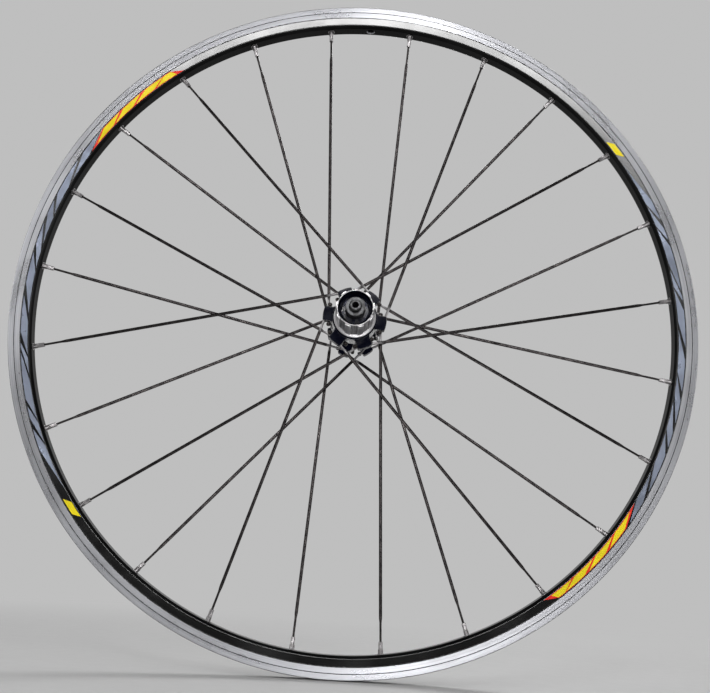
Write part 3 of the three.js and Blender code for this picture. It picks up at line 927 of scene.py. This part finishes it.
def printed(name, bars, side, material):
    """Thin films on one wall, repeated on the far half of the rim. side is 1 for the drive side."""
    tilt = Vector((-WALL_SLOPE, 1)).normalized()
    films = []
    for half in (0, 180):
        for shape in bars:
            steps = max(2, math.ceil((shape["inner"][1] - shape["inner"][0]) / BAR_STEP))
            rings = []
            for step in range(steps + 1):
                corners = []
                for edge, share in (("inner", shape["span"][0]), ("outer", shape["span"][1])):
                    first, last = shape[edge]
                    clockwise = half + first + (last - first) * step / steps
                    out = BAR_INNER_R + (BAR_OUTER_R - BAR_INNER_R) * share
                    for lift in (BAR_LIFT, -BAR_SINK):
                        radius = out + tilt.x * lift
                        z = wall_z(out) + tilt.y * lift
                        corners.append(row(*polar(radius, 90 - side * clockwise), side * z))
                rings.append([corners[0], corners[2], corners[3], corners[1]])
            films.append(joined("film", rings if side > 0 else rings[::-1], [material]))
    films_piece = merged(name, films)
    return place(films_piece, "wheel", "rim_black")


def print_walls():
    grey_bars = [bar(*shape) for shape in GREY_BARS]
    yellow_bars = []
    for i, leans in enumerate(YELLOW_LEANS):
        start = YELLOW_START + i * YELLOW_PITCH
        yellow_bars.append(bar(start, start + YELLOW_WIDTH, *leans, MOST_OF_WALL))
    yellow_bars.append(bar(*LOZENGE, MOST_OF_WALL))
    for side, mark in ((1, "ds"), (-1, "nds")):
        printed(f"grey_bars_{mark}", grey_bars, side, grey_ink)
        printed(f"red_panels_{mark}", [bar(*RED_PANEL)], side, red_ink)
        raised = printed(f"yellow_bars_{mark}", yellow_bars, side, yellow_ink)
        raised.data.transform(Matrix.Translation(row(0, 0, side * YELLOW_LIFT)))


print_walls()

# ---- spokes, nipples and eyelets ----

BLADE_SQUARENESS = 0.25
FORGING_STEPS = 7
SPOKE_SIDES = 18
NIPPLE_SIDES = 40
NIPPLE_SQUARE_END = -4.4
NIPPLE_ROUND_START = -3.8
NIPPLE_BORE_R = THREAD_R + 0.08
SLOT_FLOOR = 4.7
SLOT_TOP = 6.5
SLOT_STRETCH = (7, 0.62)
EYELET_BORE_R = 2.5
EYELET_BARREL_R = 2.85
EYELET_FLANGE_R = 3.3


def spoke_rings(seat, length):
    """A domed head, a round neck, a forged flat blade, and a round end that the nipple takes."""
    head_end = seat - HEAD_GAP
    head_start = head_end - HEAD_LENGTH
    blade_start = HUB_NECK + BLADE_FORGING
    blade_end = length - RIM_NECK - BLADE_FORGING
    round_parts = [
        (0.5, head_start),
        (1.3, head_start + 0.18),
        (1.8, head_start + 0.55),
        (HEAD_R, head_start + 1.15),
        (HEAD_R, head_end - 0.25),
        (HEAD_R - 0.25, head_end),
        (NECK_R + 0.25, head_end + 0.1),
        (NECK_R, head_end + 0.5),
        (NECK_R, HUB_NECK - 4),
    ]
    rings = [ellipse(radius, radius, distance, SPOKE_SIDES) for radius, distance in round_parts]

    def forging(first, last, round_r, flat_at_end):
        for step in range(FORGING_STEPS + 1):
            share = step / FORGING_STEPS
            shaped = share * share * (3 - 2 * share)
            flat = shaped if flat_at_end else 1 - shaped
            width, depth = (round_r + (half - round_r) * flat for half in BLADE_HALF)
            distance = first + (last - first) * share
            rings.append(ellipse(width, depth, distance, SPOKE_SIDES, 1 - BLADE_SQUARENESS * flat))

    forging(HUB_NECK, blade_start, NECK_R, True)
    for share in (0.01, 0.25, 0.5, 0.75, 0.99):
        middle = blade_start + (blade_end - blade_start) * share
        rings.append(ellipse(*BLADE_HALF, middle, SPOKE_SIDES, 1 - BLADE_SQUARENESS))
    forging(blade_end, length - RIM_NECK, THREAD_R, False)
    for taper, distance in ((0, 0), (0, THREAD_ENTRY - 0.2), (0.25, THREAD_ENTRY)):
        rings.append(ellipse(THREAD_R - taper, THREAD_R - taper, length + distance, SPOKE_SIDES))
    return rings


def nipple_shape():
    """A squared tail for the spoke key, a round body and a slotted head, from the spoke's end."""

    def level(radius, distance, flat=math.inf):
        """A ring with this radius, cut to a square where its flats are nearer."""
        ring = []
        for k in range(NIPPLE_SIDES):
            angle = math.tau * (k + 0.5) / NIPPLE_SIDES
            reach = min(radius, flat / max(abs(math.cos(angle)), abs(math.sin(angle))))
            ring.append(Vector((reach * math.cos(angle), reach * math.sin(angle), distance)) * MM)
        return ring

    tail, shoulder, top = -NIPPLE_OUTSIDE, NIPPLE_INSIDE - NIPPLE_HEAD_LENGTH, NIPPLE_INSIDE
    rings = [
        level(NIPPLE_BORE_R + 0.3, tail),
        level(NIPPLE_R - 0.35, tail, NIPPLE_FLAT),
        level(NIPPLE_R - 0.1, tail + 0.25, NIPPLE_FLAT),
        level(NIPPLE_R, tail + 0.6, NIPPLE_FLAT),
        level(NIPPLE_R, NIPPLE_SQUARE_END, NIPPLE_FLAT),
        level(NIPPLE_R, NIPPLE_ROUND_START),
        level(NIPPLE_R, shoulder),
        level(NIPPLE_HEAD_R - 0.15, shoulder + 0.35),
        level(NIPPLE_HEAD_R, shoulder + 0.6),
        level(NIPPLE_HEAD_R, top - 1.1),
        level(NIPPLE_HEAD_R - 0.3, top - 0.4),
        level(NIPPLE_R, top),
        level(NIPPLE_BORE_R, top),
        level(NIPPLE_BORE_R, tail + 0.3),
    ]
    nipple = joined("nipple", rings, [nipple_metal], closed=True)
    slot = rod("slot", stepped([(SLOT_FLOOR, 1)], SLOT_TOP), 4)
    quarter = Matrix.Rotation(math.pi / 4, 4, "Z")
    slot.data.transform(Matrix.Diagonal((*SLOT_STRETCH, 1, 1)) @ quarter)
    return combined(nipple, slot, "DIFFERENCE")


def eyelet_shape():
    """A ring pressed through the rim's bed: a rolled flange outside, a barrel and a flare inside."""
    profile = rounded([
        (EYELET_BORE_R, -0.45, 0.2),
        (EYELET_FLANGE_R, -0.45, 0.25),
        (EYELET_FLANGE_R, 0.05),
        (EYELET_BARREL_R, 0.05),
        (EYELET_BARREL_R, 1.65),
        (3.2, 1.85, 0.1),
        (3.1, 2.05, 0.1),
        (EYELET_BORE_R, 1.8, 0.2),
    ])
    return rod("eyelet", profile, 36, [nipple_metal])


def copy_of(pattern, name, at, slot, *nodes):
    """A piece of the wheel with the pattern's mesh, named and set in place."""
    piece = linked(name, pattern.data.copy())
    piece.matrix_world = at
    place(piece, "wheel", slot, *nodes)


def make_spokes():
    nipple = nipple_shape()
    eyelet = eyelet_shape()
    patterns = {}
    to_bed = Matrix.Translation((0, 0, BED_R * MM))
    for spoke in all_spokes:
        if spoke["kind"] not in patterns:
            rings = spoke_rings(spoke["seat"], spoke["length"])
            patterns[spoke["kind"]] = joined("spoke", rings, [spoke_steel])
        name = spoke["name"]
        to_rim = Matrix.Translation((0, 0, spoke["length"] * MM))
        at_hub, at_rim = spoke["frame"], spoke["frame"] @ to_rim
        blade = patterns[spoke["kind"]]
        copy_of(blade, f"bladed_spoke_{name}", at_hub, "spoke_steel", f"spoke_{name}")
        copy_of(nipple, f"slotted_nipple_{name}", at_rim, "nipple_metal", f"nipple_{name}")
        copy_of(eyelet, f"eyelet_{name}", spoke["hole_frame"] @ to_bed, "nipple_metal")
    for pattern in (nipple, eyelet, *patterns.values()):
        bpy.data.objects.remove(pattern)


make_spokes()

# ---- hub shell ----


def curve(a, b, c, steps=4):
    """A quadratic curve from a to c that leans towards b, without its ends."""
    inner = [i / steps for i in range(1, steps)]
    return [
        tuple((1 - t) ** 2 * Vector(a) + 2 * t * (1 - t) * Vector(b) + t * t * Vector(c)) for t in inner
    ]


def lug_star(flange):
    """Square-ended lugs around a disc, with rounded roots between them."""
    root_r, tip_r, half = flange["root_r"], flange["tip_r"], flange["lug_half"]
    root_turn = math.degrees((half + LUG_FILLET) / root_r)
    tip_turn = math.degrees(math.asin(half / tip_r))
    pitch = 360 / LUGS
    outline = []
    for lug in range(LUGS):
        angle = flange["first_lug"] + lug * pitch
        up_root = tuple(polar(root_r, angle - root_turn))
        up_foot = beside_ray(angle, root_r + LUG_FILLET, -half)
        down_foot = beside_ray(angle, root_r + LUG_FILLET, half)
        down_root = tuple(polar(root_r, angle + root_turn))
        tip = arc(tip_r, angle - tip_turn, angle + tip_turn, 8)
        outline += [up_root, *curve(up_root, beside_ray(angle, root_r - 0.6, -half), up_foot), up_foot]
        outline += [(*tip[0], LUG_CORNER), *tip[1:-1], (*tip[-1], LUG_CORNER)]
        outline += [down_foot, *curve(down_foot, beside_ray(angle, root_r - 0.6, half), down_root)]
        outline += arc(root_r, angle + root_turn, angle + pitch - root_turn, 10)[:-1]
    near, far = (flange["z"] + way * flange["thickness"] / 2 for way in (-1, 1))
    return prism("lugs", rounded(outline), near, far, [black_anodised], bevel=0.5, steps=3)


def ratchet_bore():
    pitch = 360 / TEETH
    corners = []
    for tooth in range(TEETH):
        face = FIRST_TOOTH + tooth * pitch
        corners.append(tuple(polar(TOOTH_TIP_R, face)))
        corners += arc(TOOTH_ROOT_R, face + TOOTH_LEAN, face + pitch * TOOTH_FLOOR_SHARE, 2)
    return prism("teeth", corners, RATCHET_FLOOR, SHELL_ENDS[1] + 1)


def in_notch(flange, out, middle):
    """Whether a point lies between two of a flange's lugs, as seen along the axle."""
    pitch = 360 / LUGS
    angle = math.degrees(math.atan2(middle.y, middle.x)) - flange["first_lug"]
    from_lug = abs((angle + pitch / 2) % pitch - pitch / 2)
    return math.sin(math.radians(from_lug)) * out > flange["lug_half"] - 0.15


# Where each step of the shell's bore starts, and its radius
SHELL_STEPS = [
    (SHELL_ENDS[0] - 1, BEARINGS["bearing_nds"]["radius"] + SEAT_GAP),
    (BEARINGS["bearing_nds"]["end"] + SEAT_GAP, SHELL_BORE_R),
    (BEARINGS["bearing_ds"]["start"] - SEAT_GAP, BEARINGS["bearing_ds"]["radius"] + SEAT_GAP),
]
# How far from a flange's root a notch is bare
BARE_BAND = (-0.9, 1.3)


def bore_radius(z):
    steps = (*SHELL_STEPS, (RATCHET_FLOOR, TOOTH_ROOT_R))
    return [radius for start, radius in steps if start <= z][-1]


def hub_rule(out, middle, normal):
    """Black, but for the bores and the notches between the lugs, which are cut after the anodising."""
    for flange, reach in ((DRIVE_FLANGE, DRIVE_BARREL_START), (FAR_FLANGE, FAR_FLANGE["z"])):
        level = (middle.z - reach) * (flange["z"] - reach + 0.01) >= 0
        on_barrel = BARE_BAND[0] < out - flange["root_r"] < BARE_BAND[1]
        if level and on_barrel and abs(normal.z) < 0.8 and in_notch(flange, out, middle):
            return 1
    return 1 if out < bore_radius(middle.z) + 0.1 else 0


def make_hub_shell():
    far_end, drive_end = SHELL_ENDS
    core = turned("hub_core", rounded([
        (0, far_end),
        (FAR_BARREL_R, far_end, 0.6),
        (FAR_BARREL_R, FAR_FLANGE["z"]),
        (WAIST_R, WAIST_SPAN[0], 12),
        (WAIST_R, WAIST_SPAN[1], 5),
        (DRIVE_BARREL_R, DRIVE_BARREL_START, 1.2),
        (DRIVE_BARREL_R, drive_end, 0.8),
        (0, drive_end),
    ], 6), 144, [black_anodised, cut_alloy])
    combined(core, lug_star(DRIVE_FLANGE), "UNION")
    combined(core, lug_star(FAR_FLANGE), "UNION")
    bore = turned("bore", stepped(SHELL_STEPS, drive_end + 1), 144)
    combined(core, bore, "DIFFERENCE")
    combined(core, ratchet_bore(), "DIFFERENCE")
    start, end = SPOKE_DRILL
    for spoke in all_spokes:
        drill = rod("drill", stepped([(start, SPOKE_HOLE_R)], end), 20, at=spoke["frame"])
        combined(core, drill, "DIFFERENCE")
    core.name = "lugged_hub_shell"
    paint(core, hub_rule)
    flat_faced(core)
    place(core, "wheel", "black_anodised", "hub_shell")


make_hub_shell()

# ---- freehub body ----


def spline_outline():
    pitch = 360 / SPLINES
    outline = []
    for spline in range(SPLINES):
        middle = 90 + spline * pitch
        half = (KEY_LAND_ANGLE if spline == 0 else LAND_ANGLE) / 2
        next_half = (KEY_LAND_ANGLE if spline == SPLINES - 1 else LAND_ANGLE) / 2
        land = arc(SPLINE_R, middle - half, middle + half, 4)
        groove = arc(SPLINE_ROOT_R, middle + half, middle + pitch - next_half, 5)
        outline += [(*land[0], 0.3), *land[1:-1], (*land[-1], 0.3)]
        outline += [(*groove[0], 0.3), *groove[1:-1], (*groove[-1], 0.3)]
    return rounded(outline, 3)


def mouth_thread():
    """The lockring thread's corners, as rings, from the floor of the mouth to its chamfer."""
    corners = []
    place_along = MOUTH_FLOOR + 2
    while place_along + THREAD_PITCH < FREEHUB_MOUTH - 0.8:
        corners += [
            (MOUTH_BORE_R, place_along),
            (MOUTH_BORE_R, place_along + THREAD_PITCH * 0.2),
            (MOUTH_BORE_R + THREAD_DEPTH, place_along + THREAD_PITCH * 0.5),
            (MOUTH_BORE_R + THREAD_DEPTH, place_along + THREAD_PITCH * 0.7),
        ]
        place_along += THREAD_PITCH
    return corners


def freehub_rule(out, middle, _):
    """The mouth is painted dark inside, below its bright rim: painted shade in the threaded bore."""
    return 1 if out < MOUTH_BORE_R + 0.5 and MOUTH_FLOOR - 0.1 < middle.z < FREEHUB_MOUTH - 0.6 else 0


def make_freehub():
    body = turned("freehub_core", rounded([
        (0, CARRIER_START),
        (CARRIER_R, CARRIER_START, 0.4),
        (CARRIER_R, COLLAR_START, 0.2),
        (COLLAR_R, COLLAR_START, 0.35),
        (COLLAR_R, SPLINE_SPAN[0] + 0.3, 0.35),
        (SPLINE_ROOT_R - 0.05, SPLINE_SPAN[0] + 0.9),
        (SPLINE_ROOT_R - 0.05, FREEHUB_MOUTH, 0.35),
        (0, FREEHUB_MOUTH),
    ]), 144, [freehub_alloy, black_anodised])
    splines = prism(
        "splines", spline_outline(), *SPLINE_SPAN, [freehub_alloy], bevel=0.25, steps=3, narrow=True
    )
    combined(body, splines, "UNION")
    bore_start, bore_end = BODY_BORE_SPAN
    steps = [(CARRIER_START - 1, AXLE_PASSAGE_R), (bore_start, BODY_BORE_R), (bore_end, BEARING_SEAT_R)]
    bore = turned("bore", [
        *stepped(steps, MOUTH_FLOOR)[:-1],
        (MOUTH_BORE_R, MOUTH_FLOOR),
        *mouth_thread(),
        (MOUTH_BORE_R, FREEHUB_MOUTH - 0.5),
        (MOUTH_BORE_R + 0.5, FREEHUB_MOUTH),
        (MOUTH_BORE_R + 0.5, FREEHUB_MOUTH + 1),
        (0, FREEHUB_MOUTH + 1),
    ], 144)
    combined(body, bore, "DIFFERENCE")
    left, floor, right, top = POCKET
    corners = [(left, floor), (right, floor), (right, top), (left, top)]
    near, far = PAWL_SPAN[0] - POCKET_CLEARANCE, PAWL_SPAN[1] + POCKET_CLEARANCE
    for side in (1, -1):
        pocket = prism("pocket", half_turned(corners, side), near, far)
        combined(body, pocket, "DIFFERENCE")
    inner, outer, half = CARRIER_GROOVE
    combined(body, turned("groove", ring_shape(inner, outer, SPRING_Z, half), 144), "DIFFERENCE")
    body.name = "splined_freehub"
    paint(body, freehub_rule)
    flat_faced(body)
    place(body, "freehub", "bright_alloy", "freehub_body")


make_freehub()

# ---- pawls, their spring, and the ratchet's seal ----

SEAL_OUTER_R = 15.6
SEAL_LIP_R = 14.75
SEAL_SPAN = (20.8, 23)


def make_pawls():
    foot, nose = (tuple(polar(radius, PAWL_NOSE_ANGLE)) for radius in PAWL_NOSE_RADII)
    heel = [(x, y + PAWL_PIVOT_R) for x, y in arc(PAWL_HEEL_R, 90, 285, 16)]
    outline = rounded([*heel, (*foot, 0.3), (*nose, 0.15)], 2)
    inner, outer, half = PAWL_SLOT
    for name, side in (("pawl_a", 1), ("pawl_b", -1)):
        corners = half_turned(outline, side)
        pawl = prism(f"hardened_{name}", corners, *PAWL_SPAN, [tool_steel], bevel=0.12, narrow=True)
        combined(pawl, turned("slot", ring_shape(inner, outer, SPRING_Z, half), 96), "DIFFERENCE")
        place(pawl, name, "tool_steel", name)


def make_spring():
    rings = []
    steps, sides = 120, 12
    start = 180 + SPRING_OPENING / 2
    for step in range(steps + 1):
        angle = start + (360 - SPRING_OPENING) * step / steps
        ring = []
        for k in range(sides):
            round_wire = math.tau * k / sides
            radius = SPRING_R + SPRING_WIRE / 2 * math.cos(round_wire)
            ring.append(row(*polar(radius, angle), SPRING_Z - SPRING_WIRE / 2 * math.sin(round_wire)))
        rings.append(ring)
    place(joined("round_wire_spring", rings, [spring_steel]), "freehub", "spring_steel", "pawl_spring")


def make_seal():
    """A rubber ring in the shell's mouth, with a lip that leans in to the freehub's carrier."""
    start, end = SEAL_SPAN
    seal = rounded([
        (SEAL_LIP_R + 0.2, start),
        (SEAL_OUTER_R, start, 0.1),
        (SEAL_OUTER_R, end, 0.2),
        (SEAL_LIP_R, end, 0.1),
        (SEAL_LIP_R + 0.45, end - 0.8, 0.2),
    ])
    place(turned("freehub_seal", seal, 144, [seal_rubber]), "wheel", "bearing_steel")


make_pawls()
make_spring()
make_seal()

# ---- axle, end caps and bearings ----


def make_axle():
    chamfer, bore_chamfer = 0.8, 0.35
    axle = rounded([
        (SKEWER_BORE_R + bore_chamfer, -AXLE_END),
        (AXLE_END_R - chamfer, -AXLE_END, 0.15),
        (AXLE_END_R, -AXLE_END + chamfer, 0.2),
        (AXLE_END_R, AXLE_SHOULDERS[0], 0.1),
        (AXLE_MIDDLE_R, AXLE_SHOULDERS[0], 0.3),
        (AXLE_MIDDLE_R, AXLE_SHOULDERS[1], 0.3),
        (AXLE_END_R, AXLE_SHOULDERS[1], 0.1),
        (AXLE_END_R, AXLE_END - chamfer, 0.2),
        (AXLE_END_R - chamfer, AXLE_END, 0.15),
        (SKEWER_BORE_R + bore_chamfer, AXLE_END),
        (SKEWER_BORE_R, AXLE_END - bore_chamfer),
        (SKEWER_BORE_R, -AXLE_END + bore_chamfer),
    ])
    place(turned("hollow_axle", axle, 96, [axle_alloy]), "axle_set", "axle_alloy", "axle")


def make_end_caps():
    drive = turned("flatted_end_cap", rounded([
        (CAP_BORE_R, CAP_BACK),
        (CAP_R, CAP_BACK, 0.3),
        (CAP_R, LOCKNUT_FACE, 0.5),
        (CAP_BORE_R + CAP_BORE_CHAMFER, LOCKNUT_FACE),
        (CAP_BORE_R, LOCKNUT_FACE - CAP_BORE_CHAMFER),
    ]), 144, [axle_alloy])
    reach = FLAT_TOOL_REACH
    flat = [(-reach, CAP_FLAT), (reach, CAP_FLAT), (reach, reach), (-reach, reach)]
    for side in (1, -1):
        tool = prism("flat", half_turned(flat, side), CAP_BACK - 1, LOCKNUT_FACE - CAP_COLLAR, bevel=0.3)
        combined(drive, tool, "DIFFERENCE")
    place(drive, "axle_set", "axle_alloy", "end_cap_ds")
    far = turned("skirted_end_cap", rounded([
        (CAP_BORE_R + CAP_BORE_CHAMFER, -LOCKNUT_FACE),
        (CAP_R, -LOCKNUT_FACE, 0.5),
        (CAP_R, SKIRT_SPAN[0], 0.8),
        (*SKIRT_CHEEK, 1),
        (SKIRT_R, SKIRT_RIM[0], 0.4),
        (SKIRT_R, SKIRT_RIM[1], 0.3),
        (SPACER_R, SKIRT_RIM[1], 0.2),
        (SPACER_R, SKIRT_SPAN[1], 0.2),
        (CAP_BORE_R, SKIRT_SPAN[1]),
        (CAP_BORE_R, -LOCKNUT_FACE + CAP_BORE_CHAMFER),
    ]), 144, [axle_alloy])
    place(far, "axle_set", "axle_alloy", "end_cap_nds")


def make_bearings():
    race, recess = 1.7, 0.45
    for name, bearing in BEARINGS.items():
        start, end = bearing["start"], bearing["end"]
        inner_land, outer_land = BEARING_BORE_R + race, bearing["radius"] - race
        section = rounded([
            (BEARING_BORE_R, start, 0.3),
            (inner_land, start, 0.1),
            (inner_land, start + recess),
            (outer_land, start + recess),
            (outer_land, start, 0.1),
            (bearing["radius"], start, 0.3),
            (bearing["radius"], end, 0.3),
            (outer_land, end, 0.1),
            (outer_land, end - recess),
            (inner_land, end - recess),
            (inner_land, end, 0.1),
            (BEARING_BORE_R, end, 0.3),
        ])

        def bearing_rule(out, middle, _):
            sunk = start + recess - 0.01 < middle.z < end - recess + 0.01
            return 1 if sunk and inner_land + 0.1 < out < outer_land - 0.1 else 0

        # The freehub's bearing takes the near-black steel that paints the shade in the mouth
        steel = mouth_shade_steel if name == "freehub_bearing" else race_steel
        ring = turned(f"sealed_{name}", section, 128, [steel, seal_rubber])
        paint(ring, bearing_rule)
        place(ring, bearing["body"], "bearing_steel", name)


make_axle()
make_end_caps()
make_bearings()

# ---- floor, light and camera, in metres ----

FLOOR_DROP = 0.0006
FLOOR_HALF = 40
CAMERA_PLACE = Vector((-0.0008, -0.9464, -0.2252))
CAMERA_LOOK = Vector((0.0026, 0.9777, 0.2103))
CAMERA_UP = Vector((-0.056, -0.2098, 0.9762))
CAMERA_LENS = 53.19


def make_floor():
    under = -RIM_OUTER_R * MM - FLOOR_DROP
    far = FLOOR_HALF
    corners = [(-far, -far, under), (far, -far, under), (far, far, under), (-far, far, under)]
    mesh = mesh_of("floor", [floor_finish()])
    mesh.from_pydata(corners, [], [(0, 1, 2, 3)])
    floor = linked("floor", mesh)


def set_tones():
    """Plain tone mapping, so that the reds and yellows stay as strong as they are."""
    bpy.context.scene.view_settings.view_transform = "Standard"
    bpy.context.scene.view_settings.look = "None"


def make_world():
    """The camera sees one pale grey. What lights the wheel is that grey behind, and dimmer in front."""
    world = bpy.data.worlds.new("studio")
    bpy.context.scene.world = world
    w = Nodes(world)
    direction = w.node("TexCoord").outputs["Generated"]
    backward = w.node("SeparateXYZ", {"Vector": direction}).outputs["Y"]
    ramp = w.node("ValToRGB", {"Fac": backward})
    front, behind = ramp.color_ramp.elements
    front.position, front.color = 0.0, grey(FRONT_GREY)
    behind.position, behind.color = 0.6, grey(BACKDROP_GREY)
    lighting = w.tree.nodes["Background"]
    w.give(lighting.inputs["Color"], ramp.outputs["Color"])
    backdrop = w.node("Background", {"Color": grey(BACKDROP_GREY)})
    to_camera = w.node("LightPath").outputs["Is Camera Ray"]
    seen = w.node("MixShader", {0: to_camera, 1: lighting.outputs[0], 2: backdrop.outputs[0]})
    w.give(w.tree.nodes["World Output"].inputs["Surface"], seen.outputs[0])


def area_light(name, place_at, aim, size, watts):
    lamp = bpy.data.lights.new(name, "AREA")
    lamp.shape = "RECTANGLE"
    lamp.size, lamp.size_y = size
    lamp.energy = watts
    holder = linked(name, lamp)
    holder.visible_camera = False
    holder.location = place_at
    holder.rotation_euler = (Vector(aim) - Vector(place_at)).to_track_quat("-Z", "Y").to_euler()


def make_camera():
    back = -CAMERA_LOOK.normalized()
    right = CAMERA_UP.cross(back).normalized()
    camera = linked("camera", bpy.data.cameras.new("camera"))
    turn = Matrix((right, back.cross(right), back)).transposed().to_4x4()
    camera.matrix_world = Matrix.Translation(CAMERA_PLACE) @ turn
    camera.data.lens = CAMERA_LENS
    camera.data.clip_start, camera.data.clip_end = 0.01, 200
    bpy.context.scene.camera = camera


make_floor()
set_tones()
make_world()
area_light("key", (0.12, -1.6, 1.2), (0, 0, 0.05), (0.2, 0.4), 2.5)
area_light("wall_strip", (0.0, -1.6, 0.53), (0, 0, 0.3), (0.44, 0.11), 5)
area_light("low_front", (0.13, -1.6, -0.12), (0, 0, -0.1), (0.3, 0.25), 3)
area_light("left_fill", (-1.9, -1.2, 0.7), (0, 0, 0), (1.2, 1.2), 14)
area_light("right_fill", (1.9, -0.9, 0.3), (0, 0, 0), (0.8, 1.4), 10)
area_light("back", (0.6, 1.9, 1.5), (0, 0, 0), (1.2, 0.9), 24)
make_camera()
